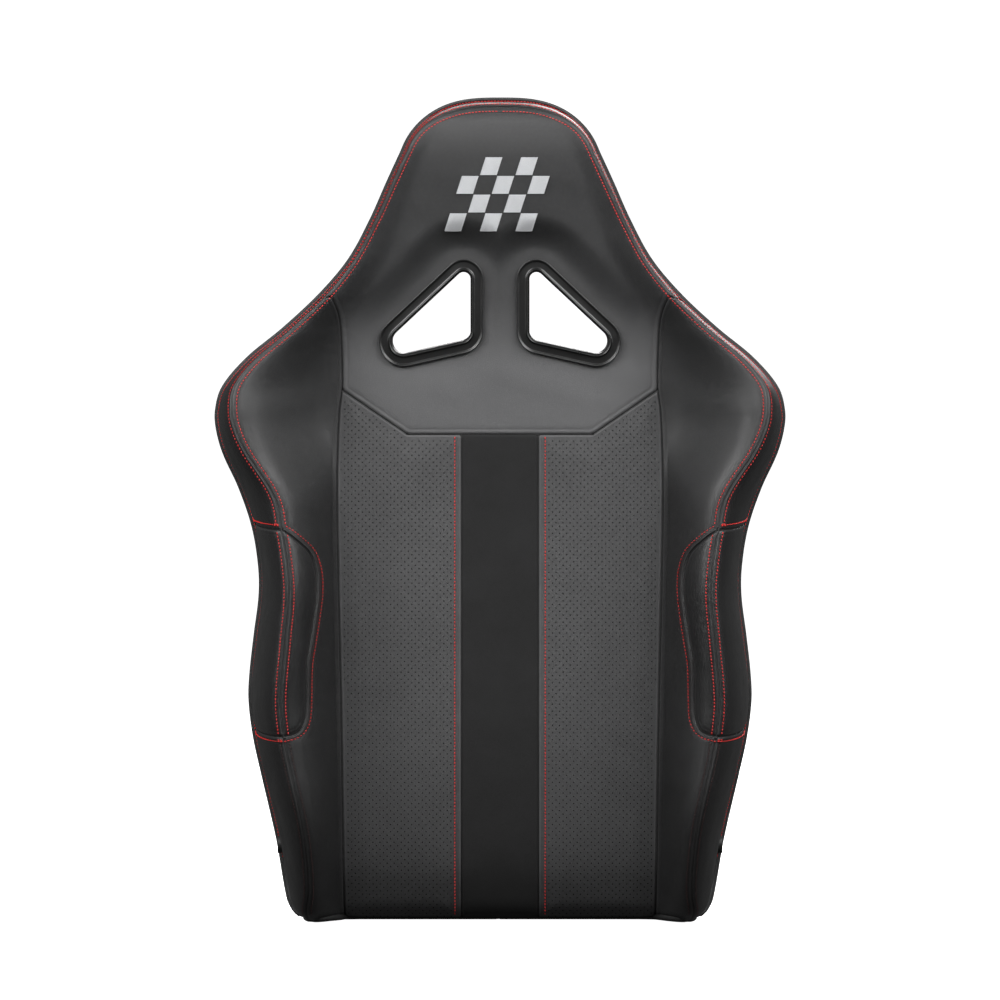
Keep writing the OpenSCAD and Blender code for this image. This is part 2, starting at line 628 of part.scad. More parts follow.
// The pull lies along -X at rest and swings out about the pin
module zip_pull() color("#9a9ca0") translate([slide_start, pin_y, zip_z]) {
    difference() {
        union() {
            translate([0, 0, -2.2]) cylinder(h = 4.4, r = ring_r, $fn = 32);
            translate([-pull_len, -0.8, -2.2]) cube([pull_len, 1.6, 4.4]);
            translate([-pull_len, 0.8, 0]) rotate([90, 0, 0]) cylinder(h = 1.6, r = 4, $fn = 32);
        }
        translate([0, 0, -5]) cylinder(h = 10, r = pin_r + 0.3, $fn = 32);
        translate([-pull_len, 5, 0]) rotate([90, 0, 0]) cylinder(h = 10, r = 1.8, $fn = 32);
    }
}

// ---- assembly ----

module left() mirror([1, 0, 0]) children();

frame_hoop();
shoulder_bar();
head_bar();
base_bar();
left() wing_rod();  // wing_rod_left
wing_rod();  // wing_rod_right
left() bolster_wire();  // bolster_wire_left
bolster_wire();  // bolster_wire_right
left() side_plate();  // side_plate_left
side_plate();  // side_plate_right
left() bracket_bosses();  // bracket_boss_left
bracket_bosses();  // bracket_boss_right
for (i = [1 : web_count]) webbing_band(i - 1);
front_foam();
rear_foam();
head_panel();
left() wing_panel();  // wing_panel_left
wing_panel();  // wing_panel_right
left() insert_panel();  // insert_left
insert_panel();  // insert_right
centre_stripe();
left() patch_inner();  // patch_inner_left
patch_inner();  // patch_inner_right
left() patch_outer();  // patch_outer_left
patch_outer();  // patch_outer_right
head_boxing();
left() wing_boxing();  // wing_boxing_left
wing_boxing();  // wing_boxing_right
left() lower_boxing();  // lower_boxing_left
lower_boxing();  // lower_boxing_right
back_panel();
lower_back_panel();
bottom_panel();
emblem();
left() front_bezel();  // front_bezel_left
front_bezel();  // front_bezel_right
left() rear_bezel();  // rear_bezel_left
rear_bezel();  // rear_bezel_right
left() bezel_screws();  // bezel_screws_left
bezel_screws();  // bezel_screws_right
zip_tape();
zip_coil();
zip_stops();
zip_slider();
zip_pull();
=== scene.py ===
import json
import math

import bmesh
import bpy
import numpy as np
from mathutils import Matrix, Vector, geometry


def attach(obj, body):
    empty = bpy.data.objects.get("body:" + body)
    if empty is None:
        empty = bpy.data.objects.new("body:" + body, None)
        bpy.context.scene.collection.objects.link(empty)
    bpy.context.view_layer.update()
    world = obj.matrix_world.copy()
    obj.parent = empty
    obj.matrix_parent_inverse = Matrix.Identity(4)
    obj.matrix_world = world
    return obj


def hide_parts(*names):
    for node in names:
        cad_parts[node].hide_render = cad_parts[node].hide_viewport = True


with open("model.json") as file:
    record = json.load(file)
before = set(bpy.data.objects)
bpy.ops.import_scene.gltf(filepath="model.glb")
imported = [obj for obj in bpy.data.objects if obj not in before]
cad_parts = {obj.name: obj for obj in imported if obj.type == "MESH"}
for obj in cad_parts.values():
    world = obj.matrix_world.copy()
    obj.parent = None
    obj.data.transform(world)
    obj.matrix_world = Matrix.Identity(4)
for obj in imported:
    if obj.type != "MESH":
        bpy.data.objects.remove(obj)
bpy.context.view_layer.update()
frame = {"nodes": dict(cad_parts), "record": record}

# The shape is worked out in millimetres, and becomes metres where a mesh is made.
MM = 0.001
SEAT = "seat_back"

# ---------------------------------------------------------------- shape curves, as [height, value]
OUTLINE = [[0, 206], [6, 213], [20, 220], [80, 231], [145, 246], [184, 254.5], [222, 259], [250, 258],
           [290, 253.5], [330, 248.5], [360, 249], [400, 255.5], [440, 269], [475, 285], [500, 292], [520, 293],
           [545, 285.5], [575, 260], [605, 223.5], [640, 186], [675, 156.5], [715, 134.5], [755, 116.5],
           [786, 102]]
RIDGE_INSET = [[0, 14], [30, 28], [70, 34], [120, 38], [265, 38], [330, 36], [400, 36], [430, 40], [455, 37],
               [490, 29], [530, 21], [556, 15], [600, 12], [640, 11], [690, 8], [790, 8], [820, 3], [840, 0]]
INSERT_EDGE = [[0, 158], [180, 160], [350, 163.5], [430, 165], [510, 164], [545, 160], [605, 150], [640, 134],
               [680, 112], [720, 96], [780, 76], [810, 58], [830, 38], [840, 12]]
CENTRE_FRONT = [[0, 25], [10, 10], [25, 0], [60, -13], [120, -21], [185, -23], [300, -15], [420, -3], [520, 3],
                [600, 1], [700, -10], [780, -20], [812, -18], [826, -11], [835, 0], [840, 10]]
RIDGE_FRONT = [[0, -12], [12, -32], [40, -54], [100, -82], [150, -92], [330, -92], [420, -82], [520, -76],
               [570, -60], [620, -36], [660, -25], [700, -22], [780, -26], [812, -20], [826, -11], [835, 0],
               [840, 10]]
REAR_FACE = [[0, 62], [12, 76], [45, 86.8], [500, 86.8], [560, 84], [690, 84], [740, 74], [790, 58], [812, 50],
             [826, 42], [835, 32], [840, 22]]
REAR_SEAM = [[0, 50], [40, 71], [500, 71], [560, 69], [690, 66], [740, 58], [790, 42], [812, 35], [826, 27],
             [835, 21], [840, 16]]
TOP_Z = 840
CROWN_START = 786
RIDGE_TOP_Z = 830
CREASE_OUT = 2.5
CREASE_SOFT = 3.0
SEAM_DIP = 5
ROLL_W = 28

# Harness slots: corner circles of the clear hole, and the planes of the bezels
SLOT_CORNERS = np.array([[37, 655], [40, 602], [98, 591]], float)
SLOT_RADII = np.array([7, 10, 12], float)
SLOT_FRONT_Y = 4
SLOT_REAR_Y = 84
POCKET_START = 30
POCKET_REACH = 34

# Seams of the front
HEAD_SEAM_Z = 497
DIAGONAL_X = 94
STRIPE_HALF = 39
DIAGONAL_TOP = [160, 542]
WING_SEAM = [DIAGONAL_TOP, [160, 575], [161, 605], [164, 622], [170, 637]]
PATCH_TOP_Z = 403
PATCH_LOW_Z = 195
PATCH_EDGE = [[218.5, 403], [207, 395], [192, 380], [185.5, 362], [184, 345], [185, 327], [190, 292],
              [194, 265], [195, 223], [197, 208], [204, 199], [219, 195]]
BOXING_BREAK_Z = 637
BOSS_HEIGHTS = (75, 125)
BOSS_Y = 56.5
BOSS_HOLE_R = 11.5
ZIP_Z = 70
ZIP_GAP = 6
ZIP_MOUTH = 194


# ---------------------------------------------------------------- curves
def curve(table, z):
    """Smooth curve through [height, value] pairs, the same as the CAD model's."""
    t = np.asarray(table, float)
    zs, v = t[:, 0], t[:, 1]
    z = np.clip(np.asarray(z, float), zs[0], zs[-1])
    i = np.clip(np.searchsorted(zs, z, side="right") - 1, 0, len(zs) - 2)
    g = np.empty_like(v)
    g[1:-1] = (v[2:] - v[:-2]) / (zs[2:] - zs[:-2])
    g[0] = (v[1] - v[0]) / (zs[1] - zs[0])
    g[-1] = (v[-1] - v[-2]) / (zs[-1] - zs[-2])
    h = zs[i + 1] - zs[i]
    s = (z - zs[i]) / h
    start = v[i] * (1 + 2 * s) * (1 - s) ** 2 + g[i] * h * s * (1 - s) ** 2
    end = v[i + 1] * s * s * (3 - 2 * s) + g[i + 1] * h * s * s * (s - 1)
    return start + end


def ease(s):
    c = np.clip(s, 0, 1)
    return c * c * (3 - 2 * c)


def half_width(z):
    """Half width of the silhouette: a table, then a rounded crown that closes over the head."""
    z = np.asarray(z, float)
    q = np.clip((z - CROWN_START) / (TOP_Z - CROWN_START), 0, 1)
    crown = (102 - 21 * q) * np.cbrt(np.maximum(1 - q ** 2.4, 0))
    return np.where(z < CROWN_START, curve(OUTLINE, z), crown)


def ridge_half(z):
    z = np.asarray(z, float)
    lift = 10 * ease((z - 780) / 50)
    return np.maximum(half_width(np.minimum(z + lift, TOP_Z)) - curve(RIDGE_INSET, z), 0)


def ridge_col(z):
    return np.maximum(ridge_half(z), 0.6 * half_width(z))


def crease_col(z):
    return np.minimum(curve(INSERT_EDGE, z) + CREASE_OUT, 0.9 * ridge_col(z))


# ---------------------------------------------------------------- polylines
def unit(v):
    """The vectors in the last axis of v, at length 1."""
    return v / np.maximum(np.linalg.norm(v, axis=-1), 1e-9)[..., None]


def split_path(path, step):
    """The path with points added so that none is further than step from the next."""
    path = np.asarray(path, float)
    out = []
    for a, b in zip(path[:-1], path[1:]):
        n = max(1, math.ceil(np.linalg.norm(b - a) / step))
        out.extend(a + (b - a) * k / n for k in range(n))
    out.append(path[-1])
    return np.array(out)


def join_paths(*paths):
    """One closed loop from paths that meet end to end, without repeated points."""
    out = []
    for path in paths:
        for p in np.asarray(path, float):
            if not out or np.linalg.norm(p - out[-1]) > 1e-6:
                out.append(p)
    if np.linalg.norm(out[0] - out[-1]) < 1e-6:
        out.pop()
    return np.array(out)


def smooth_path(points, per_span=8):
    """Catmull-Rom curve through a few points."""
    p = np.asarray(points, float)
    p = np.vstack([2 * p[0] - p[1], p, 2 * p[-1] - p[-2]])
    out = []
    for i in range(1, len(p) - 2):
        a, b, c, d = p[i - 1], p[i], p[i + 1], p[i + 2]
        for k in range(per_span):
            s = k / per_span
            out.append(0.5 * (2 * b + (c - a) * s + (2 * a - 5 * b + 4 * c - d) * s * s
                              + (3 * b - a - 3 * c + d) * s ** 3))
    out.append(p[-2])
    return np.array(out)


def lengths(path):
    return np.concatenate([[0], np.cumsum(np.linalg.norm(np.diff(path, axis=0), axis=1))])


def even_path(path, step):
    """The path resampled at an even spacing close to step."""
    s = lengths(path)
    n = max(2, int(round(s[-1] / step)) + 1)
    at = np.linspace(0, s[-1], n)
    return np.stack([np.interp(at, s, path[:, k]) for k in range(path.shape[1])], 1)


def shifted(path, d):
    """The open path moved sideways by d, to its left."""
    t = unit(np.gradient(path, axis=0))
    return path + d * np.stack([-t[:, 1], t[:, 0]], 1)


def gap_to(points, loop, closed=True):
    """Distance from each point to a polyline."""
    a = loop
    b = np.roll(loop, -1, axis=0)
    if not closed:
        a, b = loop[:-1], loop[1:]
    ab = b - a
    size = np.maximum((ab ** 2).sum(1), 1e-12)
    out = np.empty(len(points))
    for k in range(0, len(points), 4000):
        p = points[k:k + 4000, None, :]
        s = np.clip(((p - a) * ab).sum(2) / size, 0, 1)
        out[k:k + 4000] = np.sqrt((((p - a) - s[..., None] * ab) ** 2).sum(2).min(1))
    return out


def inside(points, loop):
    """True for the points that lie within a closed loop."""
    x, y = points[:, 0][:, None], points[:, 1][:, None]
    x0, y0 = loop[:, 0], loop[:, 1]
    x1, y1 = np.roll(x0, -1), np.roll(y0, -1)
    hit = np.zeros(len(points), int)
    rise = np.where(np.abs(y1 - y0) < 1e-12, 1e-12, y1 - y0)
    for k in range(0, len(points), 4000):
        crosses = (y0 > y[k:k + 4000]) != (y1 > y[k:k + 4000])
        at = x0 + (y[k:k + 4000] - y0) / rise * (x1 - x0)
        hit[k:k + 4000] = (crosses & (x[k:k + 4000] < at)).sum(1)
    return hit % 2 == 1


def slot_loop(grow, steps=10):
    """Rounded triangle of a harness slot, grown by a margin: arcs about the corners and their tangents."""
    turn = []
    for i in range(3):
        j = (i + 1) % 3
        d = SLOT_CORNERS[j] - SLOT_CORNERS[i]
        turn.append(math.atan2(d[1], d[0]) - math.acos((SLOT_RADII[i] - SLOT_RADII[j]) / np.linalg.norm(d)))
    out = []
    for i in range(3):
        first = turn[i - 1]
        sweep = (turn[i] - first) % (2 * math.pi)
        for k in range(steps + 1):
            a = first + sweep * k / steps
            out.append(SLOT_CORNERS[i] + (SLOT_RADII[i] + grow) * np.array([math.cos(a), math.sin(a)]))
    return np.array(out)


# ---------------------------------------------------------------- surfaces: (u, v) in mm to (x, y, z) in mm
def front_depth(x, z):
    """Depth of the finished front at (x, z)."""
    x = np.abs(x)
    a, b = crease_col(z), ridge_col(z)
    past = 0.5 * (x - a + np.sqrt((x - a) ** 2 + CREASE_SOFT ** 2))
    t = np.clip(past / (b - a), 0, 1)
    m = 0.75 * ease((z - 430) / 80)
    centre = curve(CENTRE_FRONT, z)
    slope = m * ease(t) + (1 - m) * np.sin(t * math.pi / 2)
    y = centre + (curve(RIDGE_FRONT, z) - centre) * slope
    p = np.stack([x, z], 1)
    slot_gap = np.where(inside(p, SLOT_CORNERS), 0, gap_to(p, SLOT_CORNERS))
    w = ease(1 - (slot_gap - POCKET_START) / POCKET_REACH)
    return y * (1 - w) + SLOT_FRONT_Y * w


def front_surface(uv):
    return np.stack([uv[:, 0], front_depth(uv[:, 0], uv[:, 1]), uv[:, 1]], 1)


# The perimeter runs up the right side from the foot to the top of the head, at an even spacing
def perimeter_table():
    low = np.linspace(0, CROWN_START, 700)
    bend = np.linspace(1, 0, 260)[1:] ** 1.5
    z = np.concatenate([low, CROWN_START + (TOP_Z - CROWN_START) * (1 - bend)])
    x = half_width(z)
    s = lengths(np.stack([x, z], 1))
    at = np.linspace(0, s[-1], 900)
    z = np.interp(at, s, z)
    x = np.interp(at, s, x)
    ridge_z = np.where(z < 780, z, 780 + (z - 780) * (RIDGE_TOP_Z - 780) / (TOP_Z - 780))
    ridge_x = ridge_half(ridge_z)
    ridge_x[-1] = 0
    t = unit(np.gradient(np.stack([x, z], 1), axis=0))
    t[-1] = [-1, 0]
    normal = np.stack([t[:, 1], -t[:, 0]], 1)
    seam = np.stack([x, z], 1) - SEAM_DIP * normal
    seam[-1, 0] = 0
    seam = np.maximum(seam, 0)
    return {"s": at, "x": x, "z": z, "ridge": np.stack([ridge_x, ridge_z], 1), "seam": seam, "normal": normal}


RIM = perimeter_table()
RIM_LENGTH = RIM["s"][-1]
RIM_RIDGE_Y = front_depth(RIM["ridge"][:, 0], RIM["ridge"][:, 1])
RIM_SEAM_Y = curve(REAR_SEAM, RIM["z"])
RIM_SIDE = np.hypot(np.linalg.norm(RIM["seam"] - RIM["ridge"], axis=1), RIM_SEAM_Y - RIM_RIDGE_Y)


def rim_at(v, column):
    """A value along the perimeter. v is 0 at the right foot, grows to the crown and goes on down the left."""
    return np.interp(np.where(v > RIM_LENGTH, 2 * RIM_LENGTH - v, v), RIM["s"], column)


def rim_s(z, ridge=False):
    """Perimeter position at height z, on the outline or on the ridge seam."""
    return float(np.interp(z, RIM["ridge"][:, 1] if ridge else RIM["z"], RIM["s"]))


SIDE_STEPS = np.sin(np.linspace(0, math.pi / 2, 33)), 1 - np.cos(np.linspace(0, math.pi / 2, 33))


def side_surface(uv):
    """Side band: u runs from the ridge seam back to the rear seam, v along the perimeter."""
    u, v = uv[:, 0], uv[:, 1]
    ridge = np.stack([rim_at(v, RIM["ridge"][:, k]) for k in range(2)], 1)
    seam = np.stack([rim_at(v, RIM["seam"][:, k]) for k in range(2)], 1)
    y0, y1 = rim_at(v, RIM_RIDGE_Y), rim_at(v, RIM_SEAM_Y)
    across = np.linalg.norm(seam - ridge, axis=1)
    chord = np.hypot(across[:, None] * SIDE_STEPS[0], (y1 - y0)[:, None] * SIDE_STEPS[1])
    k = np.clip((chord < u[:, None]).sum(1), 1, 32)
    row = np.arange(len(u))
    part = (u - chord[row, k - 1]) / np.maximum(chord[row, k] - chord[row, k - 1], 1e-9)
    q = (k - 1 + part) / 32 * math.pi / 2
    flat = ridge + (seam - ridge) * np.sin(q)[:, None]
    y = y0 + (y1 - y0) * (1 - np.cos(q))
    side = np.where(v > RIM_LENGTH, -1, 1)
    return np.stack([flat[:, 0] * side, y, flat[:, 1]], 1)


def side_width(v):
    return rim_at(np.asarray(v, float), RIM_SIDE)


def roll_surface(uv):
    """Edge of the back: u is 0 at the rear seam and 1 where the back turns flat, v along the perimeter."""
    u, v = uv[:, 0], uv[:, 1]
    x, z = rim_at(v, RIM["x"]), rim_at(v, RIM["z"])
    n = np.stack([rim_at(v, RIM["normal"][:, k]) for k in range(2)], 1)
    n[v > RIM_LENGTH - 1e-6] = [0, 1]
    ys = rim_at(v, RIM_SEAM_Y)
    depth = curve(REAR_FACE, z) - ys
    bulge = SEAM_DIP * np.sqrt(np.clip(1 - (1 - np.clip(u / 0.3, 0, 1)) ** 2, 0, 1))
    q = np.clip((u - 0.3) / 0.7, 0, 1) * math.pi / 2
    inset = SEAM_DIP - bulge + (np.minimum(ROLL_W, 0.6 * x + 10)) * (1 - np.cos(q))
    y = ys + depth * (0.18 * np.clip(u / 0.3, 0, 1) + 0.82 * np.sin(q))
    return np.stack([x - inset * n[:, 0], y, np.maximum(z - inset * n[:, 1], 0)], 1)


def back_surface(uv):
    return np.stack([uv[:, 0], curve(REAR_FACE, uv[:, 1]), uv[:, 1]], 1)


def normals(surface, uv):
    """Unit normals of a surface, pointing out of the seat."""
    e = 0.25
    du = surface(uv + [e, 0]) - surface(uv - [e, 0])
    dv = surface(uv + [0, e]) - surface(uv - [0, e])
    n = np.cross(du, dv)
    size = np.linalg.norm(n, axis=1)
    n[size < 1e-9] = [0, 0, 1]
    return n / np.maximum(size, 1e-9)[:, None]


# ---------------------------------------------------------------- sewn sheets
RINGS = (0.35, 0.8, 1.4, 2.2, 3.2, 4.3, 5.0, 5.7, 7.4, 10.0)
SEAM_ROUND = 2.4
SEAM_DEEP = 2.6
TOPSTITCH = 5.0


def seam_lift(d, groove=0.0):
    """How far the cover sinks at distance d from a seam: a rounded edge, a soft hollow, and a sewn groove."""
    edge = np.clip(1 - d / SEAM_ROUND, 0, 1)
    rounded = -SEAM_DEEP * (1 - np.sqrt(1 - edge ** 2))
    soft = -0.7 * np.exp(-d / 7)
    return rounded + soft - groove * np.exp(-((d - TOPSTITCH) / 0.9) ** 2)


def ripple(u, v):
    """Soft unevenness of a cover pulled over foam, from -1 to 1: a few crossed waves."""
    long = np.sin(u / 31 + 1.3 * np.sin(v / 67)) * np.sin(v / 43 + 0.9 * np.sin(u / 53))
    short = np.sin((u + 0.6 * v) / 13 + 1.7 * np.sin(v / 29)) * np.sin((v - 0.4 * u) / 17)
    return 0.65 * long + 0.35 * short


def pucker(u, v, gap):
    """Small gathers that a tight seam pulls into the cover beside it."""
    gathers = np.sin((u + v) / 2.6 + 2 * np.sin(u / 11)) * np.sin((u - v) / 4.1 + 2 * np.sin(v / 13))
    return gathers * np.exp(-gap / 7) * ease(gap / 2.5)


def hex_points(loop, cell, rise=0.866):
    """A staggered grid over a loop's bounding box. rise is the distance between rows, in cells."""
    low, high = loop.min(0), loop.max(0)
    out = []
    for k, v in enumerate(np.arange(low[1], high[1], cell * rise)):
        u = np.arange(low[0] + (k % 2) * cell / 2, high[0], cell)
        out.append(np.stack([u, np.full(len(u), v)], 1))
    return np.vstack(out)


def nearest_gap(points, loops):
    """Distance from each point to the nearest of the loops."""
    return np.min([gap_to(points, loop) for loop in loops], axis=0)


def clear_grid(loops, cell, clear):
    """A staggered grid inside loops[0] and outside the other loops, clear of them all."""
    grid = hex_points(loops[0], cell)
    grid = grid[inside(grid, loops[0])]
    for hole in loops[1:]:
        grid = grid[~inside(grid, hole)]
    return grid[nearest_gap(grid, loops) > clear]


def ring_points(loop, d):
    """Points at distance d inside a closed loop."""
    t = unit(np.roll(loop, -1, axis=0) - np.roll(loop, 1, axis=0))
    n = np.stack([-t[:, 1], t[:, 0]], 1)
    area = 0.5 * np.sum(loop[:, 0] * np.roll(loop[:, 1], -1) - loop[:, 1] * np.roll(loop[:, 0], -1))
    p = loop + n * d * np.sign(area)
    return p[gap_to(p, loop) > 0.96 * d]


def triangulate(loops, points):
    """Triangles over the area within loops[0] and outside the other loops."""
    coords, edges = [], []
    for loop in loops:
        n = len(coords)
        coords.extend(loop)
        edges.extend((n + k, n + (k + 1) % len(loop)) for k in range(len(loop)))
    coords.extend(points)
    verts, _, faces, _, _, _ = geometry.delaunay_2d_cdt([tuple(p) for p in coords], edges, [], 0, 1e-5, False)
    verts = np.array([tuple(p) for p in verts])
    tri = np.array(faces, int)
    mid = verts[tri].mean(1)
    keep = inside(mid, loops[0])
    for hole in loops[1:]:
        keep &= ~inside(mid, hole)
    return verts, tri[keep]


def rim_edges(tri):
    """Directed edges that only one triangle has."""
    e = np.vstack([tri[:, [0, 1]], tri[:, [1, 2]], tri[:, [2, 0]]])
    known = set(map(tuple, e))
    return [(a, b) for a, b in known if (b, a) not in known]


def section_faces(count, sides):
    """Quads between a row of closed sections with the same number of points, and a cap at each end."""
    faces = []
    for i in range(count - 1):
        for k in range(sides):
            b = (k + 1) % sides
            faces.append([i * sides + k, i * sides + b, (i + 1) * sides + b, (i + 1) * sides + k])
    faces.append(list(range(sides))[::-1])
    faces.append([(count - 1) * sides + k for k in range(sides)])
    return faces


def turned(points, tri, n, sign=1):
    """The triangles, wound so that they face along the normals n, or against them for a sign of -1."""
    p = points[tri]
    along = (np.cross(p[:, 1] - p[:, 0], p[:, 2] - p[:, 0]) * n[tri[:, 0]]).sum()
    return tri if along * sign > 0 else tri[:, ::-1]


def add_object(name, data):
    piece = bpy.data.objects.new(name, data)
    bpy.context.scene.collection.objects.link(piece)
    return piece


def corners(mesh):
    """The vertices of a mesh, in metres."""
    co = np.empty(len(mesh.vertices) * 3, np.float32)
    mesh.vertices.foreach_get("co", co)
    return co.reshape(-1, 3)


def make_mesh(name, verts, faces, gaps=None, sharp=None):
    mesh = bpy.data.meshes.new(name)
    mesh.from_pydata([tuple(p) for p in np.asarray(verts, float) * MM], [], [tuple(f) for f in faces])
    mesh.validate()
    mesh.shade_smooth()
    if sharp:
        mesh.set_sharp_from_angle(angle=math.radians(sharp))
    if gaps is not None and len(gaps) == len(mesh.vertices):
        data = mesh.attributes.new("seam_gap", "FLOAT", "POINT")
        data.data.foreach_set("value", np.asarray(gaps, np.float32))
    return add_object(name, mesh)


COVER_THICK = 1.6
BACK_CELL = 14


def sheet_back(surface, loops, thick=COVER_THICK):
    """The coarse inner face of a panel: its points in (u, v) and in space, triangles and seam distances."""
    uv, tri = triangulate(loops, clear_grid(loops, BACK_CELL, BACK_CELL / 2))
    gap = nearest_gap(uv, loops)
    n = normals(surface, uv)
    back = surface(uv) - n * (thick + SEAM_DEEP * (gap < 1e-3) + 0.7)[:, None]
    return uv, back, turned(back, tri, n, -1), gap


def edge_faces(uv, tri, back_uv, base, skip=()):
    """Faces that join the borders of a panel's front and back, whose points share their (u, v)."""
    where = {tuple(np.round(q, 3)): k + base for k, q in enumerate(back_uv)}
    faces = []
    for a, b in rim_edges(tri):
        under_a = where.get(tuple(np.round(uv[a], 3)))
        under_b = where.get(tuple(np.round(uv[b], 3)))
        on_hole = a in skip and b in skip
        if not on_hole and under_a is not None and under_b is not None:
            faces.append((b, a, under_a, under_b))
    return faces


def sheet_parts(surface, loops, cell, seams=None, groove=0.0, lift=None):
    """Vertices, faces and seam distances of one closed panel.

    It has a fine front, a coarse back and the edge between them.
    """
    rings = [ring_points(loops[0], d) for d in RINGS]
    hole_rings = [ring_points(loop, -d) for loop in loops[1:] for d in RINGS]
    grid = clear_grid(loops, cell, RINGS[-1] + 0.5 * cell)
    sets = [points for points in [grid] + rings + hole_rings if len(points)]
    uv, tri = triangulate(loops, np.vstack(sets))
    gap = nearest_gap(uv, seams or loops)
    n = normals(surface, uv)
    height = seam_lift(gap, groove)
    height = height + 0.5 * ripple(uv[:, 0], uv[:, 1]) * ease(gap / 30)
    height = height + 0.16 * pucker(uv[:, 0], uv[:, 1], gap)
    if lift is not None:
        height = height + lift(uv, gap)
    front = surface(uv) + n * height[:, None]
    tri = turned(front, tri, n)
    back_uv, back, back_tri, back_gap = sheet_back(surface, loops)
    faces = [tuple(f) for f in tri] + [tuple(f + len(front)) for f in back_tri]
    faces += edge_faces(uv, tri, back_uv, len(front))
    return np.vstack([front, back]), faces, np.concatenate([gap, back_gap])


def mirrored(piece, name):
    """A copy of a piece on the other side of the middle plane."""
    mesh = piece.data.copy()
    mesh.name = name
    mesh.vertices.foreach_set("co", (corners(mesh) * np.float32([-1, 1, 1])).ravel())
    mesh.flip_normals()
    return add_object(name, mesh)


# ---------------------------------------------------------------- seam paths
def ridge_path(z0, z1, step=2.5):
    """Ridge seam between two heights, on the right."""
    s = np.linspace(rim_s(z0, True), rim_s(z1, True), max(2, int(abs(z1 - z0) / step)))
    return np.stack([np.interp(s, RIM["s"], RIM["ridge"][:, k]) for k in range(2)], 1)


def insert_path(z0, z1, step=20):
    z = np.linspace(z0, z1, max(2, int(abs(z1 - z0) / step)))
    return np.stack([curve(INSERT_EDGE, z), z], 1)


FOOT_Z = 0.6
WING_PATH = smooth_path(WING_SEAM)
PATCH_PATH = smooth_path(PATCH_EDGE)


def ready(*paths, step=2.5):
    return split_path(np.vstack([join_paths(*paths), join_paths(*paths)[:1]]), step)[:-1]


def head_loop():
    seam = [[0, HEAD_SEAM_Z], [DIAGONAL_X, HEAD_SEAM_Z]]
    path = join_paths(seam, WING_PATH, ridge_path(BOXING_BREAK_Z, RIDGE_TOP_Z))
    left = path[::-1] * [-1, 1]
    return ready(path, left)


def wing_loop():
    below = ridge_path(FOOT_Z, PATCH_LOW_Z)
    above = ridge_path(PATCH_TOP_Z, BOXING_BREAK_Z)
    return ready(below, PATCH_PATH[::-1], above, WING_PATH[::-1], insert_path(DIAGONAL_TOP[1], FOOT_Z))


def patch_loop():
    return ready(PATCH_PATH[::-1], ridge_path(PATCH_TOP_Z, PATCH_LOW_Z))


def insert_loop():
    top = [[DIAGONAL_X, HEAD_SEAM_Z], [STRIPE_HALF, HEAD_SEAM_Z]]
    return ready([[STRIPE_HALF, FOOT_Z]], insert_path(FOOT_Z, DIAGONAL_TOP[1]), top)


def stripe_loop():
    foot = [[-STRIPE_HALF, FOOT_Z], [STRIPE_HALF, FOOT_Z]]
    top = [[STRIPE_HALF, HEAD_SEAM_Z], [-STRIPE_HALF, HEAD_SEAM_Z]]
    return ready(foot, top)


# ---------------------------------------------------------------- materials
class Nodes:
    """A short way to write a node material."""

    def __init__(self, name):
        self.material = bpy.data.materials.new(name)
        self.material.use_nodes = True
        self.tree = self.material.node_tree
        self.shader = self.tree.nodes["Principled BSDF"]
        self.place = self.tree.nodes.new("ShaderNodeTexCoord").outputs["Object"]

    def node(self, kind, inputs=None, **settings):
        n = self.tree.nodes.new(kind)
        for key, value in settings.items():
            setattr(n, key, value)
        for key, value in (inputs or {}).items():
            self.join(value, n.inputs[key])
        return n

    def join(self, value, socket):
        if isinstance(value, bpy.types.NodeSocket):
            self.tree.links.new(value, socket)
        else:
            socket.default_value = value

    def noise(self, scale, detail=3.0, rough=0.5):
        return self.node("ShaderNodeTexNoise", {"Vector": self.place, "Scale": scale, "Detail": detail,
                                                "Roughness": rough}).outputs["Fac"]

    def cells(self, scale, feature="DISTANCE_TO_EDGE"):
        return self.node("ShaderNodeTexVoronoi", {"Vector": self.place, "Scale": scale},
                         feature=feature).outputs["Distance"]

    def span(self, value, low, high, to_low, to_high):
        n = self.node("ShaderNodeMapRange", {"Value": value, "From Min": low, "From Max": high,
                                             "To Min": to_low, "To Max": to_high})
        return n.outputs["Result"]

    def math(self, operation, a, b):
        n = self.node("ShaderNodeMath", {0: a, 1: b}, operation=operation)
        return n.outputs[0]

    def mix(self, factor, a, b):
        n = self.node("ShaderNodeMix", data_type="RGBA")
        self.join(factor, n.inputs["Factor"])
        self.join(a, n.inputs["A"])
        self.join(b, n.inputs["B"])
        return n.outputs["Result"]

    def bump(self, height, distance, strength=1.0, under=None):
        n = self.node("ShaderNodeBump", {"Height": height, "Distance": distance, "Strength": strength})
        if under is not None:
            self.join(under, n.inputs["Normal"])
        return n.outputs["Normal"]

    def finish(self, color=None, roughness=None, normal=None, **plain):
        if color is not None:
            self.join(color, self.shader.inputs["Base Color"])
        if roughness is not None:
            self.join(roughness, self.shader.inputs["Roughness"])
        if normal is not None:
            self.join(normal, self.shader.inputs["Normal"])
        for key, value in plain.items():
            self.shader.inputs[key.replace("_", " ")].default_value = value
        return self.material


def grey(v, tint=(1, 1, 1)):
    return (v * tint[0], v * tint[1], v * tint[2], 1)


PAINTED_LIGHT_FROM_Z = 0.565
PAINTED_LIGHT_TO_Z = 0.635


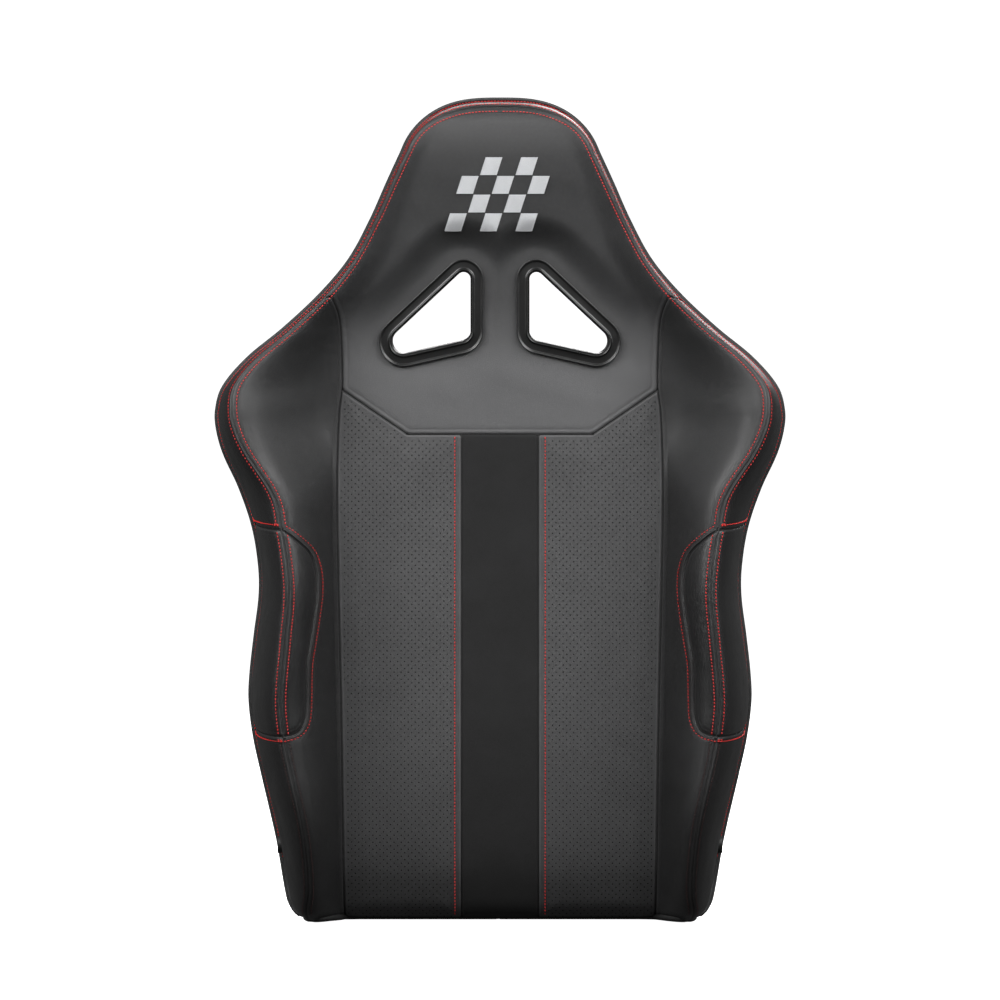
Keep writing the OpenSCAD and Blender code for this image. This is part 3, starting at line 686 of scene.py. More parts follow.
def leather(name, tone, rough=0.46, grain=0.00009, painted_light_foot=None):
    """Grained leatherette: small cells, a soft mottle, painted shade at the seam bottoms and a painted
    highlight along the seam edges.

    The last argument, when given, is a paler tone painted below the harness slots: painted light where the
    cover turns up towards the lamps.
    """
    tint = (1.0, 1.0, 1.02)
    m = Nodes(name)
    mottle = m.noise(9.0, 4.0)
    fine = m.noise(260.0, 2.0)
    base = m.mix(m.span(mottle, 0.3, 0.7, 0, 1), grey(tone * 0.9, tint), grey(tone * 1.12, tint))
    base = m.mix(m.span(fine, 0.4, 0.75, 0, 0.35), base, grey(tone * 1.5, tint))
    # Painted light: paler below the harness slots, fading out above them
    if painted_light_foot:
        height = m.node("ShaderNodeSeparateXYZ", {"Vector": m.place}).outputs["Z"]
        low = m.span(height, PAINTED_LIGHT_FROM_Z, PAINTED_LIGHT_TO_Z, 1, 0)
        base = m.mix(low, base, grey(painted_light_foot, tint))
    gap = m.node("ShaderNodeAttribute", attribute_name="seam_gap").outputs["Fac"]
    # Painted highlight: a pale band beside each seam, where the folded edge catches the light
    pale = m.span(m.math("ABSOLUTE", m.math("SUBTRACT", gap, 1.7), 0.0), 0.0, 1.1, 0.30, 0.0)
    base = m.mix(pale, base, grey(tone * 2.6 + 0.02, tint))
    # Painted shade: near black at the seam bottoms
    painted_seam_shade = m.span(gap, 0.0, 1.0, 0.9, 0.0)
    base = m.mix(painted_seam_shade, base, grey(tone * 0.12))
    r = m.span(m.noise(40.0, 3.0), 0.3, 0.7, rough - 0.05, rough + 0.07)
    creases = m.span(m.cells(1100.0), 0.0, 0.12, 0.0, 1.0)
    normal = m.bump(creases, grain, 0.8, m.bump(m.noise(420.0, 3.0), grain * 1.2, 0.6))
    return m.finish(base, r, normal, Specular_IOR_Level=0.34)


def suede(name, tone):
    """Matt suede: a short nap with pale brushed patches and no shine."""
    m = Nodes(name)
    brushed = m.span(m.noise(22.0, 5.0, 0.6), 0.3, 0.75, 0, 1)
    nap = m.span(m.noise(1500.0, 2.0), 0.3, 0.7, 0, 0.5)
    base = m.mix(brushed, grey(tone * 0.82), grey(tone * 1.25, (1, 1, 1.03)))
    base = m.mix(nap, base, grey(tone * 1.7))
    gap = m.node("ShaderNodeAttribute", attribute_name="seam_gap").outputs["Fac"]
    # Painted shade: near black at the seam bottoms
    base = m.mix(m.span(gap, 0.0, 1.2, 0.9, 0.0), base, grey(tone * 0.1))
    normal = m.bump(m.noise(1300.0, 3.0), 0.0002, 0.8)
    return m.finish(base, 0.93, normal, Specular_IOR_Level=0.15, Sheen_Weight=0.08, Sheen_Roughness=0.5)


def thread(name, tone, glow=0.45):
    """Twisted sewing thread."""
    m = Nodes(name)
    ply = m.node("ShaderNodeTexWave", {"Vector": m.place, "Scale": 900.0, "Distortion": 2.0}).outputs["Fac"]
    # Darker in the grooves between the plies: painted shade
    base = m.mix(m.span(ply, 0.2, 0.8, 0, 1), tuple(c * 0.6 for c in tone) + (1,), tone + (1,))
    return m.finish(base, 0.5, m.bump(ply, 0.00012, 0.8), Specular_IOR_Level=glow)


def plastic(name, tone, rough=0.34):
    """Moulded plastic with a fine spark-eroded texture."""
    m = Nodes(name)
    speck = m.noise(1800.0, 2.0)
    base = m.mix(m.span(m.noise(30.0), 0.3, 0.7, 0, 1), grey(tone * 0.9), grey(tone * 1.15))
    r = m.span(m.noise(70.0, 4.0), 0.3, 0.7, rough - 0.03, rough + 0.04)
    return m.finish(base, r, m.bump(speck, 0.00001, 0.3), Specular_IOR_Level=0.5)


def metal(name, tone, rough=0.35, metallic=1.0):
    """Metal or paint on metal, with faint handling marks."""
    m = Nodes(name)
    marks = m.span(m.noise(160.0, 5.0, 0.65), 0.4, 0.7, 0, 1)
    base = m.mix(marks, grey(tone * 0.85), grey(tone * 1.1))
    r = m.span(m.noise(60.0, 4.0), 0.3, 0.7, rough - 0.07, rough + 0.12)
    return m.finish(base, r, m.bump(m.noise(900.0), 0.00003, 0.5), Metallic=metallic)


def cloth(name, tone, scale):
    """Plain woven cloth: warp and weft as crossed waves."""
    m = Nodes(name)
    wave = {"Vector": m.place, "Scale": scale}
    warp = m.node("ShaderNodeTexWave", wave, bands_direction="X").outputs["Fac"]
    weft = m.node("ShaderNodeTexWave", wave, bands_direction="Z").outputs["Fac"]
    weave = m.math("MULTIPLY", warp, weft)
    # Lighter on the raised crossings and darker between the threads: painted highlight and painted shade
    base = m.mix(weave, grey(tone * 0.7), grey(tone * 1.3))
    base = m.mix(m.span(m.noise(25.0), 0.3, 0.7, 0, 0.5), base, grey(tone * 0.8))
    return m.finish(base, 0.88, m.bump(weave, 0.0002, 0.8), Specular_IOR_Level=0.2, Sheen_Weight=0.15)


def foam_stuff(name):
    """Moulded polyurethane foam with open cells under a thin skin."""
    m = Nodes(name)
    pores = m.span(m.cells(420.0, "F1"), 0.0, 0.5, 0.0, 1.0)
    base = m.mix(m.span(m.noise(12.0), 0.3, 0.7, 0, 1), (0.045, 0.045, 0.047, 1), (0.06, 0.06, 0.062, 1))
    # Darker in the middles of the open cells: painted shade in the pores
    base = m.mix(m.span(pores, 0.0, 0.5, 0.5, 0.0), base, (0.02, 0.02, 0.02, 1))
    return m.finish(base, 0.9, m.bump(pores, 0.0006, 0.7), Specular_IOR_Level=0.1)


MAT = {
    # The head panel has painted light below the harness slots
    "head_leatherette": leather("head_leatherette", 0.018, 0.4, painted_light_foot=0.06),
    "leatherette": leather("leatherette", 0.0095, 0.37),
    "boxing": leather("boxing_leatherette", 0.007, 0.42),
    "perforated_leatherette": leather("perforated_leatherette", 0.032, 0.6, 0.00012),
    "patch_leatherette": leather("patch_leatherette", 0.0085, 0.36, 0.00006),
    "back": leather("back_leatherette", 0.014, 0.5, 0.00012),
    "suede": suede("suede", 0.0085),
    "red": thread("red_thread", (0.58, 0.014, 0.012)),
    "seam_black": leather("seam_black", 0.004, 0.75),
    # Pale leather for the cords of painted highlight under the folded edges
    "edge_grey": leather("edge_grey", 0.085, 0.5),
    "dark_thread": thread("dark_thread", (0.03, 0.01, 0.01), 0.3),
    "silver": thread("silver_thread", (0.52, 0.53, 0.545), 0.6),
    "bezel_plastic": plastic("bezel_plastic", 0.006, 0.3),
    "frame_steel": metal("frame_steel", 0.03, 0.4, 0.0),
    "boss_steel": metal("boss_steel", 0.05, 0.55),
    "black_screw": metal("black_screw", 0.03, 0.35, 1.0),
    "zip_metal": metal("zip_metal", 0.45, 0.28),
    "zip_black_metal": metal("zip_black_metal", 0.06, 0.3, 1.0),
    "zip_nylon": plastic("zip_nylon", 0.02, 0.4),
    "zip_fabric": cloth("zip_fabric", 0.016, 900.0),
    "webbing": cloth("webbing", 0.02, 500.0),
    "bottom_cloth": cloth("bottom_cloth", 0.02, 650.0),
    "foam": foam_stuff("foam"),
}


def dress(piece, material, nodes=(), body=SEAT):
    """Gives a piece its material and its body, and hides the CAD nodes that it stands for."""
    piece.data.materials.clear()
    piece.data.materials.append(MAT[material])
    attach(piece, body)
    if nodes:
        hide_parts(*nodes)
    return piece


# ---------------------------------------------------------------- stitches
def capsule_rings(length, radius, sides=6):
    """Unit shape of one stitch along X: arched, with its ends under the surface."""
    xs = np.array([-0.5, -0.42, -0.2, 0.0, 0.2, 0.42, 0.5])
    size = np.array([0.25, 0.75, 1.0, 1.05, 1.0, 0.75, 0.25])
    rise = np.array([-0.9, -0.25, 0.35, 0.5, 0.35, -0.25, -0.9])
    a = np.arange(sides) * 2 * math.pi / sides
    verts = []
    for x, k, h in zip(xs, size, rise):
        for q in a:
            verts.append([x * length, math.cos(q) * radius * k, math.sin(q) * radius * k + h * radius])
    return np.array(verts), section_faces(len(xs), sides)


STITCH_PITCH = 3.4
STITCH_LEAN = 0.16
STITCH_SHAPE, STITCH_FACES = capsule_rings(2.35, 0.5)


def stitch_row(surface, path, height):
    """Vertices and faces of stitches along a path on a surface."""
    at = even_path(path, STITCH_PITCH)
    mid = 0.5 * (at[1:] + at[:-1])
    n = normals(surface, mid)
    centre = surface(mid) + n * height
    t = unit(surface(at[1:]) - surface(at[:-1]))
    b = np.cross(n, t)
    verts, faces = [], []
    for k in range(len(mid)):
        base = len(STITCH_SHAPE) * k
        along = t[k] * math.cos(STITCH_LEAN) + b[k] * math.sin(STITCH_LEAN)
        side = np.cross(n[k], along)
        verts.append(centre[k] + STITCH_SHAPE @ np.array([along, side, n[k]]))
        faces.extend([i + base for i in f] for f in STITCH_FACES)
    return np.vstack(verts), faces


def with_mirror(verts, faces):
    """The part and its copy on the other side of the middle plane."""
    return [(verts, faces), (verts * [-1, 1, 1], [q[::-1] for q in faces])]


def make_many(name, parts, material, nodes=()):
    """One piece made of many loose parts, each a pair of vertices and faces."""
    faces, base = [], 0
    for v, f in parts:
        faces.extend([i + base for i in q] for q in f)
        base += len(v)
    return dress(make_mesh(name, np.vstack([v for v, _ in parts]), faces), material, nodes)


def side_line(u, v0, v1, step=2.0):
    v = np.linspace(v0, v1, max(2, int(abs(v1 - v0) / step)))
    return np.stack([np.broadcast_to(u, v.shape) if np.ndim(u) == 0 else u, v], 1)


# ---------------------------------------------------------------- camera, light and floor
def look_at(obj, target):
    obj.rotation_euler = (Vector(target) - obj.location).to_track_quat("-Z", "Y").to_euler()


CAMERA_FAR = 8.0
AIM = (0.0, 0.03, 0.4293)
VIEW_WIDTH = 1.0207      # width of the picture at the seat, in metres
GLOW = 1.06              # makes the floor and dome pure white in the picture


def add_camera():
    """Front view from far off."""
    camera = add_object("camera", bpy.data.cameras.new("camera"))
    lift = math.radians(2.0)
    camera.location = (0.0, AIM[1] - CAMERA_FAR * math.cos(lift), AIM[2] + CAMERA_FAR * math.sin(lift))
    camera.data.sensor_width = 36
    camera.data.lens = 36 * CAMERA_FAR / VIEW_WIDTH
    camera.data.clip_end = 80
    look_at(camera, AIM)
    bpy.context.scene.camera = camera


def add_light(name, place, target, size, power):
    light = bpy.data.lights.new(name, "AREA")
    light.shape = "RECTANGLE"
    light.size, light.size_y = size
    light.energy = power
    obj = add_object(name, light)
    obj.location = place
    look_at(obj, target)


def add_surround():
    """Pale floor and a white dome round it. They show to the camera and throw no light on the seat."""
    reach = 30.0
    glow = {"Emission_Color": (1, 1, 1, 1), "Emission_Strength": GLOW, "Specular_IOR_Level": 0.0}
    rim = [(reach * math.cos(q), reach * math.sin(q), 0.0) for q in np.arange(64) * math.pi / 32]
    mesh = bpy.data.meshes.new("floor")
    mesh.from_pydata(rim, [], [tuple(range(64))])
    floor = add_object("floor", mesh)
    floor.location = (0, 0, -0.0015)
    m = Nodes("pale_floor")
    tone = m.mix(m.span(m.noise(2.0), 0.3, 0.7, 0, 1), (0.9, 0.9, 0.9, 1), (0.93, 0.93, 0.93, 1))
    mesh.materials.append(m.finish(tone, 0.8, **glow))
    work = bmesh.new()
    bmesh.ops.create_uvsphere(work, u_segments=48, v_segments=24, radius=reach)
    mesh = bpy.data.meshes.new("dome")
    work.to_mesh(mesh)
    work.free()
    mesh.shade_smooth()
    dome = add_object("dome", mesh)
    m = Nodes("white_dome")
    tone = m.mix(m.noise(1.0), (0.97, 0.97, 0.97, 1), (1, 1, 1, 1))
    mesh.materials.append(m.finish(tone, 0.9, **glow))
    for piece in (floor, dome):
        piece.visible_diffuse = False
        piece.visible_glossy = False
    # Light from the world passes through the dome
    dome.visible_shadow = False


def add_studio():
    for side in (-1, 1):
        add_light("key_softbox", (1.2 * side, -1.9, 2.0), (0, 0, 0.55), (1.1, 1.1), 48)
        add_light("side_strip", (1.7 * side, -0.9, 1.4), (0, 0, 0.65), (0.45, 1.1), 24)
        add_light("shoulder_softbox", (1.15 * side, -0.75, 1.8), (0, 0, 0.6), (0.7, 0.6), 20)
    add_light("back_softbox", (0.6, 2.8, 2.0), (0, 0, 0.5), (2.0, 1.4), 70)
    world = bpy.data.worlds.new("pale_studio")
    bpy.context.scene.world = world
    world.use_nodes = True
    sky = world.node_tree.nodes["Background"].inputs
    sky["Color"].default_value = (1, 1, 1, 1)
    sky["Strength"].default_value = 0.1
    add_surround()
    bpy.context.scene.view_settings.view_transform = "Standard"


add_camera()
add_studio()


# ---------------------------------------------------------------- front panels
def slot_hole(side=1):
    """Opening in the cover under the bezel flange."""
    loop = split_path(np.vstack([slot_loop(5), slot_loop(5)[:1]]), 3)[:-1]
    return loop * [side, 1]


def make_pair(name, v, f, g, material, node, sharp=None):
    """A piece on the right and its mirror copy on the left."""
    right = make_mesh(name + "_right", v, f, g, sharp)
    left = mirrored(right, name + "_left")
    dress(right, material, [node + "_right"])
    dress(left, material, [node + "_left"])


def cover(name, node, material, surface, loops, cell, slot="leatherette", pair=True, **how):
    """A cover panel as one sewn sheet, or as a pair of them."""
    v, f, g = sheet_parts(surface, loops, cell, **how)
    if pair:
        make_pair(name, v, f, g, material, node)
    else:
        dress(make_mesh(name, v, f, g), material, [node])


def swell(uv, gap):
    """Padding under the side patches."""
    return 0.8 * ease(gap / 6)


PATCH = {"slot": "patch_leatherette", "groove": 0.3, "lift": swell}


def make_front():
    head = head_loop()
    cover("head_cover", "head_panel", "head_leatherette", front_surface, [head, slot_hole(1), slot_hole(-1)],
          4.0, pair=False, seams=[head], groove=0.3)
    cover("wing_cover", "wing_panel", "leatherette", front_surface, [wing_loop()], 4.0, groove=0.25)
    cover("patch_inner_cover", "patch_inner", "patch_leatherette", front_surface, [patch_loop()], 3.5, **PATCH)
    cover("stripe_cover", "centre_stripe", "suede", front_surface, [stripe_loop()], 4.0, "suede", pair=False)


INSERT_THICK = 2.0
HOLE_PITCH = 7.2
HOLE_R = 0.72
HOLE_SIDES = 8
HOLE_DEEP = 1.3
HOLE_NARROW = 0.75


def perforation(loop):
    """Centres of the punched holes, on a staggered grid kept clear of the seams."""
    c = hex_points(loop, HOLE_PITCH, 0.5)
    c = c[inside(c, loop)]
    return c[(gap_to(c, loop) > 3.5) & (c[:, 0] - STRIPE_HALF > 9.5)]


def make_inserts():
    """Perforated inserts: the holes are pits in the sheet, drawn as their own rings."""
    loop = insert_loop()
    c = perforation(loop)
    a = (np.arange(HOLE_SIDES) + 0.5) * 2 * math.pi / HOLE_SIDES
    circle = np.stack([np.cos(a), np.sin(a)], 1)
    rim = (c[:, None, :] + HOLE_R * circle).reshape(-1, 2)
    ring_sets = [ring_points(loop, d) for d in (0.35, 0.8, 1.4, 2.2, 3.0)]
    heights = np.arange(4, HEAD_SEAM_Z - 4, 3.0)
    strip = np.array([[STRIPE_HALF + d, z] for d in (4.3, 5.0, 5.7, 7.4) for z in heights])
    # Points halfway between the holes keep the sheet even
    between = c + [HOLE_PITCH / 2, 0]
    between = between[inside(between, loop)]
    between = between[gap_to(between, loop) > 3.5]
    uv, tri = triangulate([loop], np.vstack([rim, between, strip] + ring_sets))
    gap = gap_to(uv, loop)
    key = {tuple(np.round(p, 3)): k for k, p in enumerate(uv)}
    holes = rim.reshape(-1, HOLE_SIDES, 2)
    ring_index = np.array([[key[tuple(np.round(p, 3))] for p in hole] for hole in holes])
    # Leave out the triangles that fill a hole: all three corners are on its ring
    owner = np.full(len(uv), -1)
    owner[ring_index] = np.arange(len(ring_index))[:, None]
    a, b, c = owner[tri].T
    tri = tri[(a < 0) | (a != b) | (b != c)]
    n = normals(front_surface, uv)
    crown = 1.6 * ease(gap / 26) + 0.4 * ripple(uv[:, 0], uv[:, 1]) * ease(gap / 30)
    front = front_surface(uv) + n * (seam_lift(gap) + crown)[:, None]
    tri = turned(front, tri, n)
    faces = [tuple(t) for t in tri]
    # Pits: the walls go down and narrow to a small floor
    rim3 = front[ring_index]
    middle = rim3.mean(1, keepdims=True)
    pit = middle + (rim3 - middle) * HOLE_NARROW - n[ring_index] * HOLE_DEEP
    count = len(ring_index) * HOLE_SIDES
    top_index = len(front) + np.arange(count).reshape(-1, HOLE_SIDES)
    pit_index = top_index + count
    for ring, low in zip(top_index, pit_index):
        for k in range(HOLE_SIDES):
            j = (k + 1) % HOLE_SIDES
            faces.append((ring[k], ring[j], low[j], low[k]))
        faces.append(tuple(low))
    verts = np.vstack([front, rim3.reshape(-1, 3), pit.reshape(-1, 3)])
    # The pit walls and floors get a seam gap of nought, so the leather paints them near black: painted shade in
    # the holes
    gaps = np.concatenate([gap, np.full(2 * count, 0.0)])
    back_uv, back, back_tri, back_gap = sheet_back(front_surface, [loop], INSERT_THICK)
    faces += [tuple(t + len(verts)) for t in back_tri]
    faces += edge_faces(uv, tri, back_uv, len(verts), set(ring_index.ravel().tolist()))
    make_pair("insert_cover", np.vstack([verts, back]), faces, np.concatenate([gaps, back_gap]),
              "perforated_leatherette", "insert")


# ---------------------------------------------------------------- side bands
def side_loop(v0, v1, step=3.0):
    """Closed loop of a stretch of the side band."""
    v = np.linspace(v0, v1, max(2, int((v1 - v0) / step)))
    back = np.stack([side_width(v), v], 1)
    return ready(np.stack([np.zeros(len(v)), v], 1), back[::-1], step=step)


def make_sides():
    heights = (FOOT_Z, PATCH_LOW_Z, PATCH_TOP_Z, BOXING_BREAK_Z)
    s_foot, s_low, s_high, s_break = (rim_s(z, True) for z in heights)
    cover("head_side_cover", "head_boxing", "boxing", side_surface,
          [side_loop(s_break, 2 * RIM_LENGTH - s_break)], 5.0, pair=False, groove=0.25)
    cover("wing_side_cover", "wing_boxing", "boxing", side_surface, [side_loop(s_high, s_break)], 5.0,
          groove=0.25)
    cover("patch_outer_cover", "patch_outer", "patch_leatherette", side_surface, [side_loop(s_low, s_high)],
          4.5, **PATCH)
    loops = [side_loop(s_foot, s_low)] + [boss_hole(z) for z in BOSS_HEIGHTS]
    cover("lower_side_cover", "lower_boxing", "boxing", side_surface, loops, 5.0, groove=0.2)


def boss_hole(z):
    """Round opening in the side band over a mounting boss, in the band's own coordinates."""
    a = np.linspace(0, 2 * math.pi, 29)[:-1]
    s = rim_s(z)
    y0, y1 = float(rim_at(s, RIM_RIDGE_Y)), float(rim_at(s, RIM_SEAM_Y))
    across = float(np.interp(s, RIM["s"], np.linalg.norm(RIM["seam"] - RIM["ridge"], axis=1)))
    ys = BOSS_Y + BOSS_HOLE_R * np.cos(a)
    q = np.arccos(np.clip(1 - (ys - y0) / (y1 - y0), -1, 1))
    u = np.hypot(across * np.sin(q), (y1 - y0) * (1 - np.cos(q)))
    return np.stack([u, s + BOSS_HOLE_R * np.sin(a)], 1)


# ---------------------------------------------------------------- back
RIM_FADE = 75


def make_back_part(z0, z1):
    """Back panel between two heights: the rolled edge and the flat, as one sheet."""
    top = z1 >= TOP_Z
    s0 = rim_s(z0)
    s1 = RIM_LENGTH if top else rim_s(z1)
    v = np.linspace(s0, s1, max(3, int((s1 - s0) / 4)))
    if top:
        v = np.concatenate([v, (2 * RIM_LENGTH - v[:-1])[::-1]])
    steps = np.array([0, 0.02, 0.05, 0.1, 0.17, 0.25, 0.35, 0.5, 0.65, 0.8, 0.9, 1.0])
    grid = []
    for u in steps:
        uv = np.stack([np.full(len(v), u), np.where(v > RIM_LENGTH, 2 * RIM_LENGTH - v, v)], 1)
        p = roll_surface(uv)
        p[:, 0] *= np.where(v > RIM_LENGTH, -1, 1)
        grid.append(p)
    grid = np.array(grid)
    spans = np.linalg.norm(np.diff(grid, axis=0), axis=2)
    arc = np.concatenate([np.zeros((1, len(v))), np.cumsum(spans, axis=0)])
    n = unit(np.cross(np.gradient(grid, axis=0), np.gradient(grid, axis=1)))
    away = grid - np.array([0, 20.0, 420.0])
    n *= np.sign((n * away * [1, 1, 0.3]).sum(2))[:, :, None]
    return grid + n * seam_lift(arc, 0.2)[:, :, None] * (steps < 1)[:, None, None]


def face_out(piece):
    """Turns the faces of an open sheet of the back to face outward."""
    work = bmesh.new()
    work.from_mesh(piece.data)
    bmesh.ops.recalc_face_normals(work, faces=work.faces)
    if sum(f.normal.y * f.calc_area() for f in work.faces) < 0:
        bmesh.ops.reverse_faces(work, faces=work.faces)
    work.to_mesh(piece.data)
    work.free()


def flat_points(outline, holes, edge, way):
    """Points for the flat of the back, in close rows beside the zip's mouth. way is 1 for above it."""
    points = clear_grid([outline] + holes, 7.0, 3.5)
    x = np.arange(-ZIP_MOUTH + 2, ZIP_MOUTH - 1, 5.0)
    rows = [np.stack([x, np.full(len(x), ZIP_Z + way * (ZIP_GAP + d))], 1) for d in RINGS]
    points = np.vstack([points[gap_to(points, edge, closed=False) > 11]] + rows)
    return points[inside(points, outline)]


def follow_rim(uv, rim):
    """How the flat takes up the rolled edge's depth.

    For each point: its distance from the edge, the nearest vertex of the edge, and its drop below the back.
    """
    rim_drop = curve(REAR_FACE, rim[:, 2]) - rim[:, 1]
    away = np.linalg.norm(uv[:, None] - rim[None][..., [0, 2]], axis=2)
    weight = 1 / (away ** 2 + 6) ** 1.5
    drop = (weight * rim_drop).sum(1) / weight.sum(1)
    return away.min(1), away.argmin(1), drop * (1 - ease(away.min(1) / RIM_FADE))


def back_sheet(name, z0, z1, nodes):
    """The rolled edge as a grid, and the flat inside it as a fine sheet that shares its border."""
    grid = make_back_part(z0, z1)
    top = z1 >= TOP_Z
    sides = [grid] if top else [grid, grid[:, ::-1] * [-1, 1, 1]]
    verts, faces, gaps, borders = [], [], [], []
    base = 0
    for part in sides:
        rows, cols = part.shape[:2]
        idx = base + np.arange(rows * cols).reshape(rows, cols)
        arc = np.concatenate([[0], np.cumsum(np.linalg.norm(np.diff(part, axis=0), axis=2).mean(1))])
        verts.append(part.reshape(-1, 3))
        gaps.append(np.repeat(arc, cols))
        for i in range(rows - 1):
            for k in range(cols - 1):
                faces.append((idx[i, k], idx[i, k + 1], idx[i + 1, k + 1], idx[i + 1, k]))
        borders.append(idx[-1])
        base += rows * cols
    verts = np.vstack(verts)
    border = [verts[i][:, [0, 2]] for i in borders]
    split_z = z0 if top else z1
    mouth_z = ZIP_Z + (ZIP_GAP if top else -ZIP_GAP)
    mouth = np.array([[-ZIP_MOUTH, split_z], [-ZIP_MOUTH, mouth_z],
                      [ZIP_MOUTH, mouth_z], [ZIP_MOUTH, split_z]])
    outline = join_paths(border[0], mouth) if top else join_paths(border[0], mouth[::-1], border[1])
    outline = ready(outline, step=6)
    holes = [slot_hole(1), slot_hole(-1)] if top else []
    edge = np.vstack([[[-300, split_z]], mouth, [[300, split_z]]])
    uv, tri = triangulate([outline] + holes, flat_points(outline, holes, edge, 1 if top else -1))
    rim_index = np.concatenate(borders)
    away, nearest, drop = follow_rim(uv, verts[rim_index])
    gap = np.minimum(gap_to(uv, edge, closed=False), 20)
    flat = back_surface(uv)
    flat[:, 1] += seam_lift(gap, 0.2) + 0.6 * ripple(uv[:, 0], uv[:, 1]) * ease(gap / 20) - drop
    # Points of the border are the rolled edge's own, and the others are new
    new = away > 0.01
    index = rim_index[nearest]
    index[new] = base + np.arange(new.sum())
    new_gaps = gap[new]
    new = flat[new]
    faces += [tuple(t) for t in index[tri]]
    piece = make_mesh(name, np.vstack([verts, new]), faces, np.concatenate(gaps + [new_gaps]))
    face_out(piece)
    solid = piece.modifiers.new("thickness", "SOLIDIFY")
    solid.thickness = 1.8 * MM
    solid.offset = -1
    return dress(piece, "back", nodes)


# ---------------------------------------------------------------- stitching
def make_stitches():
    """Topstitching: twin rows along the ridge, and one row at the patch, the rear edge and the stripe."""
    s_foot = rim_s(FOOT_Z + 8, True)
    s_low, s_high = rim_s(PATCH_LOW_Z, True), rim_s(PATCH_TOP_Z, True)
    sunk = float(seam_lift(np.array([TOPSTITCH]), 0.25)[0]) + 0.3
    padded = sunk + 0.7
    red, dark = [], []

    def both(rows, surface, path, height):
        rows.extend(with_mirror(*stitch_row(surface, path, height)))

    inner = shifted(even_path(ridge_path(FOOT_Z + 8, RIDGE_TOP_Z, 1.0), 2.0), TOPSTITCH)
    inner = inner[inner[:, 0] > 0]
    z = inner[:, 1]
    both(dark, front_surface, inner[z < PATCH_LOW_Z - 5], sunk)
    both(red, front_surface, inner[(z > PATCH_LOW_Z + 2) & (z < PATCH_TOP_Z - 4)], padded)
    both(red, front_surface, inner[z > PATCH_TOP_Z + 5], sunk)
    both(dark, side_surface, side_line(TOPSTITCH, s_foot, s_low - 4), sunk)
    both(red, side_surface, side_line(TOPSTITCH, s_low + 2, s_high - 2), padded)
    both(red, side_surface, side_line(TOPSTITCH, s_high + 4, RIM_LENGTH), sunk)
    # Round the inner half of the patch, on the wing, and along the two ends of its outer half
    both(red, front_surface, shifted(even_path(PATCH_PATH, 2.0), -TOPSTITCH), sunk)
    for s, d in ((s_high, TOPSTITCH), (s_low, -TOPSTITCH)):
        width = float(side_width(s)) - TOPSTITCH
        both(red, side_surface, np.stack([np.linspace(2, width, 60), np.full(60, s + d)], 1), sunk)
    # A bar tack where the twin rows meet the patch
    for s in (s_high + 5, s_low - 4):
        for step in (-0.7, 0.7):
            both(red, side_surface, np.stack([np.linspace(1.5, 8, 8), np.full(8, s + step)], 1), sunk + 0.3)
    v = np.linspace(rim_s(60), RIM_LENGTH, 500)
    both(red, side_surface, np.stack([side_width(v) - TOPSTITCH + 1, v], 1), sunk + 0.8)
    z = np.linspace(6, HEAD_SEAM_Z - 2, 200)
    both(red, front_surface, np.stack([np.full(200, STRIPE_HALF + 7.0), z], 1), 0.25)
    make_many("red_stitching", red, "red")
    make_many("dark_stitching", dark, "dark_thread")


# ---------------------------------------------------------------- seam welts
def tube(points, radius, sides=6):
    """Vertices and faces of a round cord along a line of points."""
    p = np.asarray(points, float)
    t = unit(np.gradient(p, axis=0))
    u = unit(np.cross(t, [0.31, 1.0, 0.17]))
    w = np.cross(t, u)
    a = np.arange(sides) * 2 * math.pi / sides
    turn = np.cos(a)[None, :, None] * u[:, None, :] + np.sin(a)[None, :, None] * w[:, None, :]
    rings = p[:, None, :] + radius * turn
    return rings.reshape(-1, 3), section_faces(len(p), sides)


WELT_R = 1.5
WELT_DEPTH = 2.7


